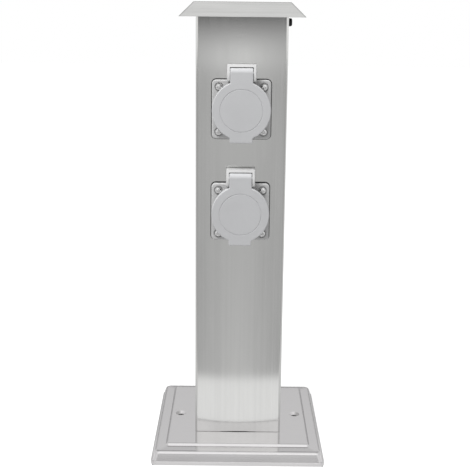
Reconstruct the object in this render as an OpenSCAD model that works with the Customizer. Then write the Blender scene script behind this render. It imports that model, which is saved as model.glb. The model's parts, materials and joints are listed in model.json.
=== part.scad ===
// Garden socket post: a square steel column on a pressed base, under a folded roof cap,
// with two power sockets behind sprung lids on its front face.
// Millimetres. +Z is up, the front faces -Y, and the origin is the middle of the print on the floor.

/* [Base] */
// Width of the square base at the floor
base_w = 153.5; // [148:0.5:170]
// Height of the raised plate above the floor
plate_h = 14.6; // [13.5:0.1:20]
// Width of the raised plate
plate_w = 129; // [122:0.5:133]
// Drop from the raised plate to the ledge around it
plate_step = 2.7; // [2:0.1:3.5]
// Radius of the raised plate's upper edge
plate_edge_r = 1.4; // [1.2:0.1:1.9]
// Radius of the shoulder outside the ledge
shoulder_r = 3.2; // [2:0.1:4]
// Lean of the skirt from upright, in degrees
skirt_lean = 18; // [8:1:24]
// Height of the upright lip at the floor
lip_h = 2.6; // [2:0.1:4]
// How far the lip stands out from the skirt
lip_step = 0.7; // [0.3:0.1:1.2]
// Corner radius of the lip, seen from above
lip_corner_r = 2.5; // [1:0.5:3]
// Thickness of the base's sheet
base_t = 1.2; // [0.8:0.1:1.5]
// Distance between the two ground-fixing holes
fix_pitch = 108.6; // [100:0.2:114]
// Diameter of a ground-fixing hole
fix_hole_d = 5.5; // [4:0.1:6.5]
// Diameter of the dimple pressed around a ground-fixing hole
dimple_d = 9.8; // [9:0.1:12]
// Depth of that dimple
dimple_depth = 1.8; // [1:0.1:3]
// Diameter of the supply cable's hole in the base
cable_hole_d = 16; // [13:0.5:20]
// Bore of the rubber grommet in that hole
grommet_bore_d = 10; // [8:0.5:11]

/* [Column] */
// Width of the square column
col_w = 78; // [76:0.5:84]
// Thickness of the column's sheet
col_t = 1; // [0.8:0.1:1.5]
// Outer corner radius of the column
col_r = 2.5; // [2:0.1:4]
// Width of the drain gap under the front and back walls
drain_w = 42; // [20:1:60]
// Height of that drain gap
drain_h = 0.5; // [0.3:0.1:1]

/* [Cap] */
// Height of the whole post
post_h = 400; // [380:1:480]
// Width of the cap at its lower edge
cap_w = 105.5; // [98:0.5:120]
// How far the cap's flat top reaches past each face of the column
cap_top_edge = 1.75; // [1.5:0.05:4]
// Height of the cap's slopes
cap_h = 12.3; // [9:0.1:18]
// Thickness of the cap's sheet
cap_t = 1; // [0.8:0.1:1.2]
// Length of the collar that the cap pushes into the column
collar_h = 26; // [22:0.5:40]
// Thickness of the collar's sheet
collar_t = 1; // [0.8:0.1:1.5]
// Play between the collar and the column
collar_gap = 0.3; // [0.1:0.05:0.5]
// Distance from the cap's lower edge down to its locking screw
cap_screw_drop = 4.5; // [4.2:0.1:6]
// Thread diameter of the locking screw
cap_screw_d = 4; // [3:0.5:5]
// Diameter of the locking screw's head
cap_screw_head_d = 7; // [6.5:0.1:8]
// Height of that head
cap_screw_head_h = 4; // [3:0.1:5]
// Thickness of the washer under that head
cap_washer_t = 0.8; // [0.5:0.1:1.2]

/* [Sockets] */
// Distance from the cap's lower edge down to the upper socket's centre
socket_drop = 76.8; // [74:0.1:90]
// Distance between the two sockets' centres
socket_pitch = 88.6; // [88:0.2:100]
// Width of a socket's square flange
flange_w = 50; // [48.5:0.1:54]
// Corner radius of the flange
flange_r = 3.5; // [2:0.1:5]
// Thickness of the flange
flange_t = 3.5; // [3:0.1:4.5]
// Thickness of the gasket behind the flange
gasket_t = 1.5; // [1:0.1:2.5]
// How far the gasket shows around the flange
gasket_edge = 0.9; // [0.3:0.1:1.5]
// Distance between the flange's screws
flange_screw_pitch = 38; // [37:0.1:39.5]
// Thread diameter of the flange's screws
flange_screw_d = 3.5; // [3:0.1:4]
// Diameter of their heads
flange_head_d = 5.8; // [5:0.1:6.4]
// Height of their heads
flange_head_h = 2.2; // [1.5:0.1:2.8]
// Diameter of the plug's well
well_d = 39.5; // [38.5:0.1:40]
// Depth of the plug's well
well_depth = 17.5; // [15:0.1:19]
// Wall of the round rim in front of the flange
rim_wall = 2.25; // [1.8:0.05:2.4]
// Height of that rim in front of the flange
rim_h = 7.5; // [7:0.1:9]
// Wall of the socket's barrel inside the column
barrel_wall = 1.55; // [1.2:0.05:2]
// Length of the barrel behind the column's face
barrel_len = 22; // [20:0.5:26]
// Play between the barrel and the hole in the column
cutout_gap = 0.45; // [0.2:0.05:0.8]

/* [Lid] */
// Diameter of a lid
lid_d = 49.6; // [49:0.1:51]
// Thickness of the lid's face
lid_t = 2.2; // [1.8:0.1:3]
// Wall of the lid's skirt
skirt_wall = 1.7; // [1.2:0.1:1.9]
// Depth of the lid from its face to the skirt's edge
lid_depth = 6; // [5:0.1:6.5]
// Chamfer on the lid's front edge
lid_chamfer = 0.8; // [0.3:0.1:1.2]
// Diameter of the ring pressed into the lid's face
ring_d = 35; // [20:0.5:40]
// Width of the thumb tab under the lid
tab_w = 19.4; // [14:0.2:24]
// How far the tab reaches below the lid
tab_drop = 2.4; // [1.5:0.1:4]
// Thickness of the tab
tab_t = 3.6; // [2.5:0.1:5]
// Thickness of the sealing ring in the lid
seal_t = 1.6; // [1.2:0.1:2.4]
// Gap between the sealing ring and the rim with the lid shut
seal_gap = 0.2; // [0.1:0.05:0.3]

/* [Hinge] */
// Height of the hinge above a socket's centre
hinge_rise = 31.3; // [31:0.1:33]
// Diameter of the lid's knuckle
knuckle_d = 8; // [7.8:0.1:8.4]
// Width of the lid's tongue
tongue_w = 19.2; // [17:0.1:22]
// Thickness of the tongue
tongue_t = 3; // [2:0.1:3.4]
// Play between the tongue and each ear
side_gap = 0.35; // [0.3:0.05:0.6]
// Thickness of the hood's ears
ear_t = 2.35; // [1.8:0.05:3]
// Thickness of the hood's top bar
bar_t = 2.2; // [1.5:0.1:3]
// Thickness of the hood's back wall
hood_back_t = 2; // [1.5:0.1:3]
// Gap between the knuckle and the hood's top bar
bar_gap = 0.7; // [0.5:0.05:1.2]
// Diameter of the hinge pin
pin_d = 3; // [2.5:0.1:3.2]
// Running play of the lid around the pin
pin_play = 0.05; // [0.03:0.01:0.08]
// Wire diameter of the closing spring
spring_wire = 0.6; // [0.5:0.05:0.7]
// Mean diameter of the spring's curls
spring_d = 4.4; // [4.3:0.05:4.6]
// Number of curls in the spring
spring_curls = 6; // [4:1:7]
// Distance from one curl to the next
spring_pitch = 1.15; // [1.12:0.01:1.3]

/* [Contacts] */
// Distance between the plug's two pin holes
pole_pitch = 19; // [18.5:0.1:19.5]
// Diameter of the pin holes in the carrier's face
pole_hole_d = 5.4; // [5.2:0.1:5.8]
// Bore of the contact sleeves
sleeve_bore_d = 5; // [4.9:0.05:5.1]
// Wall of the contact sleeves
sleeve_wall = 0.9; // [0.6:0.05:1.2]
// Thickness of the carrier's face in front of the sleeves
face_t = 3; // [2.5:0.1:4]
// Play of the carrier in the barrel
carrier_gap = 0.15; // [0.1:0.05:0.3]
// Thickness of the rim that seats the carrier on the barrel
carrier_rim_t = 3; // [2:0.1:4]
// Width of the earth clip's strip
clip_w = 5; // [4:0.1:6]
// Thickness of the earth clip's strip
clip_t = 0.8; // [0.6:0.05:1]
// Width of the square terminals
terminal_w = 8; // [7:0.1:8.5]
// Distance from a socket's centre down to its earth terminal
earth_drop = 11; // [10.5:0.1:12]

/* [Wiring] */
// Outer diameter of the wires
wire_d = 2.8; // [2.4:0.1:3]
// Play of a wire in a terminal's hole
wire_play = 0.4; // [0.3:0.05:0.5]
// Height of the supply terminal block's centre
block_z = 104; // [90:1:120]
// Height of the block
block_h = 20; // [18:0.5:26]
// Depth of the block from front to back
block_depth = 14; // [13:0.5:18]
// Distance between the block's poles
block_pitch = 11; // [11:0.1:13]
// Distance of the block's back from the column's back wall
block_standoff = 11; // [9:0.5:14]
// Thickness of the block's bracket
bracket_t = 1.2; // [0.8:0.1:2]

/* [Feet] */
// Thickness of the angle brackets inside the column's foot
foot_t = 1.5; // [1:0.1:2.5]
// Length of a bracket's leg on the base
foot_leg = 22; // [20:0.5:24]
// Height of a bracket's leg on the column
foot_rise = 30; // [20:1:50]
// Length of a bracket along the wall
foot_len = 50; // [46:1:60]
// Distance between a bracket's bolts
foot_bolt_pitch = 36; // [32:1:38]
// Thread diameter of those bolts
foot_bolt_d = 5; // [4:0.5:6]
// Thickness of the earth lug under one nut
lug_t = 1; // [0.8:0.1:1.5]

/* [Hidden] */
$fn = 64;

// Play of a thread in its nut and of a shank in its hole
thread_play = 0.05;
shank_play = 0.25;
// How far the crosses of the screws stand turned, in degrees
cross_turn = 20;
// Least radius left on an inner edge
least_r = 0.1;
// How far a cut runs past a face
past = 1;

// Base
ledge_h = plate_h - plate_step;
shoulder_z = ledge_h - shoulder_r;
skirt_top_z = shoulder_z + shoulder_r * sin(skirt_lean);
shoulder_x = base_w / 2 - lip_step - shoulder_r * cos(skirt_lean)
    - (skirt_top_z - lip_h) * tan(skirt_lean);
plate_under = plate_h - base_t;

// Grommet
grommet_lip = 2.5;
grommet_lip_t = 2;
grommet_neck_gap = 0.1;

// Column
col_in = col_w / 2 - col_t;
cap_z = post_h - cap_h;
cap_under = post_h - cap_t;

// Cap and collar
cap_top_w = col_w + 2 * cap_top_edge;
cap_run = (cap_w - cap_top_w) / 2 / cap_h;
collar_out = 2 * (col_in - collar_gap);
collar_in_x = collar_out / 2 - collar_t;
collar_corner = 0.5;
cap_screw_z = cap_z - cap_screw_drop;
cap_screw_len = 12;
cap_screw_key = 3;
cap_screw_edge_r = 1.4;
cap_nut_t = 3.2;
cap_nut_w = 7;
cap_washer_edge = 1;
cap_washer_d = cap_screw_head_d + 2 * cap_washer_edge;

// Sockets, in their own frame: X right, Y up, Z forward from the column's face
upper_z = cap_z - socket_drop;
lower_z = upper_z - socket_pitch;
well_r = well_d / 2;
rim_r = well_r + rim_wall;
barrel_r = well_r + barrel_wall;
cutout_r = barrel_r + cutout_gap;
flange_front = gasket_t + flange_t;
rim_front = flange_front + rim_h;
well_floor = rim_front - well_depth;
flange_hole_d = flange_screw_d + 2 * shank_play;
flange_nut_t = 2.6;
flange_nut_w = 5.8;
flange_screw_past = 1.5;
guide_w = 4;
guide_h = 1.6;
guide_len = 11;

// Lid and hinge
lid_r = lid_d / 2;
lid_front = rim_front + seal_gap + seal_t + lid_t;
lid_back = lid_front - lid_depth;
lid_in_r = lid_r - skirt_wall;
ring_w = 0.7;
ring_depth = 0.4;
seal_outside = 0.4;
seal_inside = 0.5;
knuckle_r = knuckle_d / 2;
hinge_fwd = lid_front - knuckle_r;
hood_w = tongue_w + 2 * side_gap + 2 * ear_t;
bar_under = hinge_rise + knuckle_r + bar_gap;
hood_top = bar_under + bar_t;
bar_setback = 1;
bar_front = hinge_fwd - bar_setback;
ear_wall = 1.5;
ear_r = pin_d / 2 + ear_wall;
ear_root_rise = 1.5;
ear_root = flange_front + ear_root_rise;
ear_root_in = 1;
ear_root_y = flange_w / 2 - ear_root_in;
ear_foot_in = 2;
ear_foot_y = rim_r - ear_foot_in;
hood_back = gasket_t + hood_back_t;
pin_end_in = 0.3;
pin_len = hood_w - 2 * pin_end_in;
pin_hold_play = 0.02;
spring_room_gap = 0.6;
spring_room_r = spring_d / 2 + spring_wire / 2 + spring_room_gap;
spring_len = spring_curls * spring_pitch;
spring_end_room = 1.75;
spring_room_w = spring_len + 2 * spring_end_room;
spring_leg_in = 0.2;
spring_leg_y = ear_root_y - spring_leg_in;
spring_leg_rise = 0.3;
spring_knee_back = 0.8;
spring_foot_back = 2;
rings_per_curl = 8;

// Contacts
pole_x = pole_pitch / 2;
sleeve_r = sleeve_bore_d / 2 + sleeve_wall;
sleeve_front = well_floor - face_t;
pocket_gap = 0.2;
carrier_r = well_r - carrier_gap;
carrier_back = -barrel_len - carrier_rim_t;
terminal_gap = 1;
terminal_front = carrier_back - terminal_gap;
terminal_back = terminal_front - terminal_w;
terminal_mid = terminal_front - terminal_w / 2;
wire_hole_d = wire_d + 2 * wire_play;
terminal_screw_d = 3;
terminal_head_d = 5.2;
terminal_head_h = 2;
sleeve_bore_stop = 2;
sleeve_bore_end = terminal_front + sleeve_bore_stop;
clip_inset = 0.9;
clip_y = well_r - clip_inset;
clip_reach = 13;
clip_bend = 1.2;
tail_gap = 0.3;

// Supply terminal block on the column's back wall
block_back = col_in - block_standoff;
block_mid = block_back - block_depth / 2;
block_front = block_back - block_depth;
block_w = 3 * block_pitch;
clamp_wall = 1.2;
clamp_w = wire_hole_d + 2 * clamp_wall;
clamp_end_in = 1;
clamp_len = block_h - 2 * clamp_end_in;
clamp_gap = 0.2;
clamp_screw_d = 3;
clamp_head_d = 4.4;
clamp_head_h = 1.7;
clamp_head_gap = 0.3;
clamp_screw_edge = 4;
clamp_screw_rise = clamp_len / 2 - clamp_screw_edge;
bracket_over = 2;
bracket_h = block_h + 2 * bracket_over;
bracket_side = 3;
bracket_x = block_w / 2 + bracket_side;
bracket_foot = 8;
block_fix_d = 2.6;
block_fix_head_d = 4.2;
block_fix_head_h = 1.8;
block_fix_past = 1;
block_nut_t = 2.2;
block_nut_w = 5;

// Feet
foot_bolt_x = col_in - foot_leg / 2;
foot_bolt_hole_d = foot_bolt_d + 2 * shank_play;
foot_nut_t = 4;
foot_nut_w = 8;
foot_nut_room = 0.5;
foot_head_t = 3.4;
foot_bolt_past = 2.5;
foot_top = plate_h + foot_t;
lug_r = 5;
lug_wall = 0.6;
lug_barrel_d = wire_hole_d + 2 * lug_wall;
lug_barrel_len = 8;
lug_lift = 0.1;
lug_z = foot_top + lug_barrel_d / 2 + lug_lift;

// Wires: where they leave the sockets' terminals, and how they swing out between them
socket_wire_y = -col_w / 2 - terminal_mid;
wire_grip = 1;
wire_exit = terminal_w / 2 + terminal_gap;
wire_straight = 8;
wire_swing = 3;
wire_sides = 8;
wire_steps = 4;

STEEL = [0.72, 0.72, 0.72];
PLASTIC = [0.76, 0.77, 0.78];
DARK_PLASTIC = [0.30, 0.31, 0.32];
BLACK = [0.06, 0.06, 0.06];
ZINC = [0.80, 0.81, 0.83];
BRASS = [0.80, 0.66, 0.36];
BROWN = [0.36, 0.20, 0.10];
BLUE = [0.12, 0.30, 0.66];
GREEN = [0.30, 0.60, 0.16];

SOCKET_PIECES = [
    "gasket", "housing", "carrier", "contact_sleeves", "earth_clip", "terminal_screws",
    "flange_screws", "flange_nuts", "lid", "lid_seal", "hinge_pin", "hinge_spring"
];

// Shapes that repeat

// A square with true round corners
module rounded_square(w, r) {
    square([w - 2 * r, w], center = true);
    square([w, w - 2 * r], center = true);
    for (x = [-1, 1], y = [-1, 1])
        translate([x, y] * (w / 2 - r)) circle(r);
}

// Copies at the four corners of a square
module at_corners(pitch) {
    for (x = [-1, 1], y = [-1, 1])
        translate([x * pitch / 2, y * pitch / 2, 0]) children();
}

// Places a socket's piece, drawn in the socket's own frame, on the column's front
module at_socket(z) {
    translate([0, -col_w / 2, z]) rotate([90, 0, 0]) children();
}

// Extrudes a side view, forward along X and up along Y, across the socket
module across(w) {
    rotate([0, -90, 0]) linear_extrude(w, center = true) children();
}

// A round bar on the hinge's axis
module hinge_bar(d, w) {
    translate([0, hinge_rise, hinge_fwd]) rotate([0, 90, 0]) cylinder(d = d, h = w, center = true);
}

// A hexagon nut standing on its face
module hex_nut(w, t, bore) {
    difference() {
        cylinder(d = w / cos(30), h = t, $fn = 6);
        translate([0, 0, -past]) cylinder(d = bore, h = t + 2 * past);
    }
}

// A pan head standing on its seat, with a cross recess
module pan_head(d, h) {
    recess_w = d / 6;
    recess_l = d * 0.6;
    edge_r = h * 0.45;
    difference() {
        rotate_extrude() {
            square([d / 2, h - edge_r]);
            square([d / 2 - edge_r, h]);
            translate([d / 2 - edge_r, h - edge_r]) circle(edge_r, $fn = 32);
        }
        for (turn = [0, 90])
            rotate([0, 0, turn + cross_turn])
                translate([-recess_l / 2, -recess_w / 2, h * 0.5]) cube([recess_l, recess_w, h]);
    }
}

// A slotted flat head standing on its seat
module slot_head(d, h) {
    slot_w = d / 6;
    difference() {
        cylinder(d = d, h = h);
        translate([-d, -slot_w / 2, h * 0.5]) cube([2 * d, slot_w, h]);
    }
}

// A smooth curve through the points, with the given steps between two of them
function curve_point(p, i, t) =
    let (a = p[max(i - 1, 0)], b = p[i], c = p[i + 1], d = p[min(i + 2, len(p) - 1)])
    b + t * (c - a) / 2 + t * t * (2 * a - 5 * b + 4 * c - d) / 2
    + t * t * t * (3 * b - a - 3 * c + d) / 2;
function curve(p, steps) = concat(
    [for (i = [0 : len(p) - 2], k = [0 : steps - 1]) curve_point(p, i, k / steps)],
    [p[len(p) - 1]]
);
function heading(p, i) =
    let (v = p[min(i + 1, len(p) - 1)] - p[max(i - 1, 0)]) v / norm(v);

// A closed tube along a path; side is a direction that the path never takes
module tube(path, d, sides, side) {
    last = len(path) - 1;
    points = [
        for (i = [0 : last])
            let (t = heading(path, i), c = cross(t, side), u = c / norm(c), v = cross(t, u))
                for (k = [0 : sides - 1])
                    path[i] + d / 2 * (cos(360 * k / sides) * u + sin(360 * k / sides) * v)
    ];
    walls = [
        for (i = [0 : last - 1], k = [0 : sides - 1])
            let (a = i * sides + k, b = i * sides + (k + 1) % sides)
                each [[a, a + sides, b + sides], [a, b + sides, b]]
    ];
    start_cap = [for (k = [1 : sides - 2]) [0, k, k + 1]];
    end = last * sides;
    end_cap = [for (k = [1 : sides - 2]) [end, end + k + 1, end + k]];
    polyhedron(points, concat(walls, start_cap, end_cap));
}

// Base

// Section of the pressed base, drawn in by the sheet's thickness for the hollow under it
module base_section(inset, below) {
    edge_r = max(plate_edge_r - inset, least_r);
    round_r = max(shoulder_r - inset, least_r);
    plate_x = plate_w / 2 - inset;
    plate_top = plate_h - inset;
    lip_x = base_w / 2 - inset;
    lip_top = lip_h - inset;
    skirt_x = shoulder_x + round_r * cos(skirt_lean);
    skirt_z = shoulder_z + round_r * sin(skirt_lean);
    foot_x = skirt_x + (skirt_z - lip_top) * tan(skirt_lean);
    translate([-plate_x, -below]) square([2 * plate_x, plate_top - edge_r + below]);
    translate([edge_r - plate_x, -below]) square([2 * (plate_x - edge_r), plate_top + below]);
    translate([-shoulder_x, -below]) square([2 * shoulder_x, shoulder_z + round_r + below]);
    translate([-lip_x, -below]) square([2 * lip_x, lip_top + below]);
    polygon([[-foot_x, lip_top], [foot_x, lip_top], [skirt_x, skirt_z], [-skirt_x, skirt_z]]);
    for (side = [-1, 1]) {
        translate([side * (plate_x - edge_r), plate_top - edge_r]) circle(edge_r);
        translate([side * shoulder_x, shoulder_z]) circle(round_r);
    }
}

// The section run along both ways, so that its corners are mitred
module base_form(inset, below) {
    intersection() {
        rotate([90, 0, 0])
            linear_extrude(base_w + past, center = true) base_section(inset, below);
        rotate([90, 0, 90])
            linear_extrude(base_w + past, center = true) base_section(inset, below);
    }
}

module at_fix_holes() {
    for (side = [-1, 1]) translate([side * fix_pitch / 2, 0, 0]) children();
}

module at_foot_bolts() {
    for (x = [-1, 1], y = [-1, 1])
        translate([x * foot_bolt_x, y * foot_bolt_pitch / 2, 0]) children();
}

module base_plate() color(STEEL) {
    hole_r = fix_hole_d / 2;
    dimple_low = plate_h - dimple_depth;
    difference() {
        union() {
            difference() {
                intersection() {
                    base_form(0, 0);
                    linear_extrude(plate_h + past) rounded_square(base_w, lip_corner_r);
                }
                base_form(base_t, past);
            }
            at_fix_holes() translate([0, 0, dimple_low - base_t]) cylinder(
                r1 = hole_r + base_t, r2 = dimple_d / 2 + base_t, h = dimple_depth + base_t / 2
            );
        }
        at_fix_holes() {
            translate([0, 0, dimple_low])
                cylinder(r1 = hole_r, r2 = dimple_d / 2, h = dimple_depth);
            translate([0, 0, plate_h]) cylinder(d = dimple_d, h = past);
            translate([0, 0, dimple_low - base_t - past]) cylinder(r = hole_r, h = base_t + 2 * past);
        }
        at_foot_bolts()
            translate([0, 0, plate_under - past]) cylinder(d = foot_bolt_hole_d, h = base_t + 2 * past);
        translate([0, 0, plate_under - past]) cylinder(d = cable_hole_d, h = base_t + 2 * past);
    }
}

// Rubber grommet that grips the edge of the cable's hole
module cable_grommet() color(BLACK) {
    bore_r = grommet_bore_d / 2;
    lip_r = cable_hole_d / 2 + grommet_lip;
    neck_r = cable_hole_d / 2 - grommet_neck_gap;
    rotate_extrude() {
        translate([bore_r, plate_h]) square([lip_r - bore_r, grommet_lip_t]);
        translate([bore_r, plate_under - grommet_lip_t]) square([lip_r - bore_r, grommet_lip_t]);
        translate([bore_r, plate_under - past]) square([neck_r - bore_r, base_t + 2 * past]);
    }
}

module foot_brackets() color(ZINC) {
    for (turn = [0, 180])
        rotate([0, 0, turn]) difference() {
            rotate([90, 0, 0]) linear_extrude(foot_len, center = true) {
                translate([col_in - foot_leg, plate_h]) square([foot_leg, foot_t]);
                translate([col_in - foot_t, plate_h]) square([foot_t, foot_rise]);
            }
            for (y = [-1, 1])
                translate([foot_bolt_x, y * foot_bolt_pitch / 2, plate_h - past])
                    cylinder(d = foot_bolt_hole_d, h = foot_t + 2 * past);
        }
}

module foot_bolts() color(ZINC) {
    shank_top = foot_top + lug_t + foot_nut_t + foot_bolt_past;
    at_foot_bolts() {
        translate([0, 0, plate_under - foot_head_t])
            cylinder(d = foot_nut_w / cos(30), h = foot_head_t, $fn = 6);
        translate([0, 0, plate_under]) cylinder(d = foot_bolt_d, h = shank_top - plate_under);
    }
}

// One nut stands on the earth lug, the others on their brackets
module foot_nuts() color(ZINC) {
    for (x = [-1, 1], y = [-1, 1])
        translate([x * foot_bolt_x, y * foot_bolt_pitch / 2, foot_top + (x + y == 2 ? lug_t : 0)])
            hex_nut(foot_nut_w, foot_nut_t, foot_bolt_d + 2 * thread_play);
}

// Column

module column() color(STEEL) {
    col_h = cap_under - plate_h;
    difference() {
        translate([0, 0, plate_h]) linear_extrude(col_h) difference() {
            rounded_square(col_w, col_r);
            rounded_square(2 * col_in, max(col_r - col_t, least_r));
        }
        translate([-drain_w / 2, -col_w, plate_h - past]) cube([drain_w, 2 * col_w, drain_h + past]);
        for (z = [lower_z, upper_z]) at_socket(z) translate([0, 0, -col_t - past]) {
            cylinder(r = cutout_r, h = col_t + 2 * past);
            at_corners(flange_screw_pitch) cylinder(d = flange_hole_d, h = col_t + 2 * past);
        }
        translate([col_in - past, 0, cap_screw_z]) rotate([0, 90, 0])
            cylinder(d = cap_screw_d + 2 * shank_play, h = col_t + 2 * past);
    }
}

// Cap

// Section of the cap's roof, drawn in by the sheet's thickness for its underside
module roof_section(inset, below) {
    slant = inset * sqrt(1 + cap_run * cap_run);
    low_x = cap_w / 2 + below * cap_run - slant;
    top_x = cap_top_w / 2 + inset * cap_run - slant;
    polygon([
        [-low_x, cap_z - below], [low_x, cap_z - below],
        [top_x, post_h - inset], [-top_x, post_h - inset]
    ]);
}

module roof_form(inset, below) {
    intersection() {
        rotate([90, 0, 0])
            linear_extrude(2 * cap_w, center = true) roof_section(inset, below);
        rotate([90, 0, 90])
            linear_extrude(2 * cap_w, center = true) roof_section(inset, below);
    }
}

module cap() color(STEEL) difference() {
    roof_form(0, 0);
    roof_form(cap_t, past);
}

// Square sleeve welded under the cap, a sliding fit in the column
module cap_collar() color(STEEL) {
    outer_r = col_r - col_t + collar_corner;
    difference() {
        translate([0, 0, cap_under - collar_h]) linear_extrude(collar_h) difference() {
            rounded_square(collar_out, outer_r);
            rounded_square(collar_out - 2 * collar_t, max(outer_r - collar_t, least_r));
        }
        translate([collar_in_x - past, 0, cap_screw_z]) rotate([0, 90, 0])
            cylinder(d = cap_screw_d + 2 * shank_play, h = collar_t + 2 * past);
    }
}

// Lays a piece of the locking screw along X, from the column's right face outwards
module at_cap_screw(x) {
    translate([x, 0, cap_screw_z]) rotate([0, 90, 0]) children();
}

module cap_screw() color(BLACK) {
    seat = col_w / 2 + cap_washer_t;
    edge_r = cap_screw_edge_r;
    difference() {
        union() {
            at_cap_screw(seat - cap_screw_len) cylinder(d = cap_screw_d, h = cap_screw_len);
            at_cap_screw(seat) rotate_extrude() {
                square([cap_screw_head_d / 2, cap_screw_head_h - edge_r]);
                square([cap_screw_head_d / 2 - edge_r, cap_screw_head_h]);
                translate([cap_screw_head_d / 2 - edge_r, cap_screw_head_h - edge_r]) circle(edge_r);
            }
        }
        at_cap_screw(seat + cap_screw_head_h / 2)
            cylinder(d = cap_screw_key / cos(30), h = cap_screw_head_h, $fn = 6);
    }
}

module cap_washer() color(BLACK) at_cap_screw(col_w / 2) difference() {
    cylinder(d = cap_washer_d, h = cap_washer_t);
    translate([0, 0, -past]) cylinder(d = cap_screw_d + 2 * shank_play, h = cap_washer_t + 2 * past);
}

// Nut welded inside the collar
module cap_nut() color(ZINC) at_cap_screw(collar_in_x - cap_nut_t)
    hex_nut(cap_nut_w, cap_nut_t, cap_screw_d + 2 * thread_play);

// Sockets

module gasket() color(BLACK) linear_extrude(gasket_t) difference() {
    rounded_square(flange_w + 2 * gasket_edge, flange_r + gasket_edge);
    circle(cutout_r);
    at_corners(flange_screw_pitch) circle(d = flange_hole_d);
}

// Side view of the hood: upright ears that carry the hinge pin
module ear_side() {
    polygon([
        [gasket_t, ear_foot_y], [gasket_t, hood_top], [bar_front, hood_top],
        [hinge_fwd + ear_r, hinge_rise + ear_r * 0.4], [hinge_fwd + ear_r, hinge_rise],
        [hinge_fwd + ear_r * sin(30), hinge_rise - ear_r * cos(30)],
        [ear_root, ear_root_y], [ear_root, ear_foot_y]
    ]);
    translate([hinge_fwd, hinge_rise]) circle(ear_r);
}

// Hood over the hinge, open in front and below between its ears
module hood() {
    difference() {
        across(hood_w) ear_side();
        across(tongue_w + 2 * side_gap)
            translate([hood_back, 0]) square([2 * lid_front, bar_under]);
    }
}

// Moulded socket: flange, rim, barrel and hinge hood in one piece
module housing() color(PLASTIC) {
    difference() {
        union() {
            translate([0, 0, gasket_t]) linear_extrude(flange_t) rounded_square(flange_w, flange_r);
            translate([0, 0, gasket_t]) cylinder(r = rim_r, h = rim_front - gasket_t);
            translate([0, 0, -barrel_len]) cylinder(r = barrel_r, h = barrel_len + flange_front);
            hood();
        }
        translate([0, 0, -barrel_len - past]) cylinder(r = well_r, h = barrel_len + rim_front + 2 * past);
        at_corners(flange_screw_pitch)
            translate([0, 0, gasket_t - past]) cylinder(d = flange_hole_d, h = flange_t + 2 * past);
        hinge_bar(pin_d + 2 * pin_hold_play, hood_w + 2 * past);
    }
    // Ribs that guide the plug, left and right in the well
    for (side = [-1, 1])
        translate([side * (well_r - guide_h / 2 + barrel_wall / 4), 0, well_floor + guide_len / 2])
            cube([guide_h + barrel_wall / 2, guide_w, guide_len], center = true);
}

// Insulating carrier, pushed into the barrel from behind
module carrier() color(DARK_PLASTIC) difference() {
    union() {
        translate([0, 0, -barrel_len]) cylinder(r = carrier_r, h = barrel_len + well_floor);
        translate([0, 0, carrier_back]) cylinder(r = barrel_r, h = carrier_rim_t);
    }
    for (side = [-1, 1]) translate([side * pole_x, 0, 0]) {
        translate([0, 0, sleeve_front - past]) cylinder(d = pole_hole_d, h = face_t + 2 * past);
        translate([0, 0, carrier_back - past])
            cylinder(r = sleeve_r + pocket_gap, h = sleeve_front - carrier_back + past);
    }
    translate([-clip_w / 2 - tail_gap, -earth_drop - clip_t / 2 - tail_gap, carrier_back - past])
        cube([clip_w + 2 * tail_gap, clip_t + 2 * tail_gap, well_floor - carrier_back + 2 * past]);
}

// Square terminal with a wire hole up through it and a screw hole from behind
module terminal_holes() {
    translate([0, 0, terminal_mid]) rotate([90, 0, 0])
        cylinder(d = wire_hole_d, h = terminal_w + 2 * past, center = true);
    translate([0, 0, terminal_back - past])
        cylinder(d = terminal_screw_d + 2 * thread_play, h = terminal_mid - terminal_back + past);
}

module terminal_body() {
    translate([-terminal_w / 2, -terminal_w / 2, terminal_back]) cube(terminal_w);
}

module contact_sleeves() color(BRASS) {
    for (side = [-1, 1]) translate([side * pole_x, 0, 0]) difference() {
        union() {
            translate([0, 0, terminal_front]) cylinder(r = sleeve_r, h = sleeve_front - terminal_front);
            terminal_body();
        }
        translate([0, 0, sleeve_bore_end])
            cylinder(d = sleeve_bore_d, h = sleeve_front - sleeve_bore_end + past);
        terminal_holes();
    }
}

// Side view of one arm of the earth clip, with the bend that grips the plug
module clip_arm() {
    z = well_floor;
    polygon([
        [z, clip_y], [z, clip_y - clip_t], [z + clip_reach / 2, clip_y - clip_t],
        [z + clip_reach * 0.75, clip_y - clip_t - clip_bend], [z + clip_reach, clip_y - clip_t],
        [z + clip_reach, clip_y], [z + clip_reach * 0.75, clip_y - clip_bend], [z + clip_reach / 2, clip_y]
    ]);
}

// Strap across the well's floor with an arm up each side, and a tail to its terminal
module earth_clip() color(BRASS) {
    across(clip_w) {
        translate([well_floor, -clip_y]) square([clip_t, 2 * clip_y]);
        clip_arm();
        mirror([0, 1]) clip_arm();
    }
    translate([0, -earth_drop, 0]) {
        translate([-clip_w / 2, -clip_t / 2, terminal_front])
            cube([clip_w, clip_t, well_floor + clip_t / 2 - terminal_front]);
        difference() {
            terminal_body();
            terminal_holes();
        }
    }
}

module terminal_screws() color(ZINC) {
    tip = terminal_mid - wire_d / 2 - wire_play / 2;
    for (place = [[-pole_x, 0], [pole_x, 0], [0, -earth_drop]])
        translate([place.x, place.y, 0]) {
            translate([0, 0, terminal_back]) cylinder(d = terminal_screw_d, h = tip - terminal_back);
            translate([0, 0, terminal_back]) mirror([0, 0, 1]) slot_head(terminal_head_d, terminal_head_h);
        }
}

module flange_screws() color(ZINC) {
    tip = -col_t - flange_nut_t - flange_screw_past;
    at_corners(flange_screw_pitch) {
        translate([0, 0, tip]) cylinder(d = flange_screw_d, h = flange_front - tip);
        translate([0, 0, flange_front]) pan_head(flange_head_d, flange_head_h);
    }
}

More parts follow.
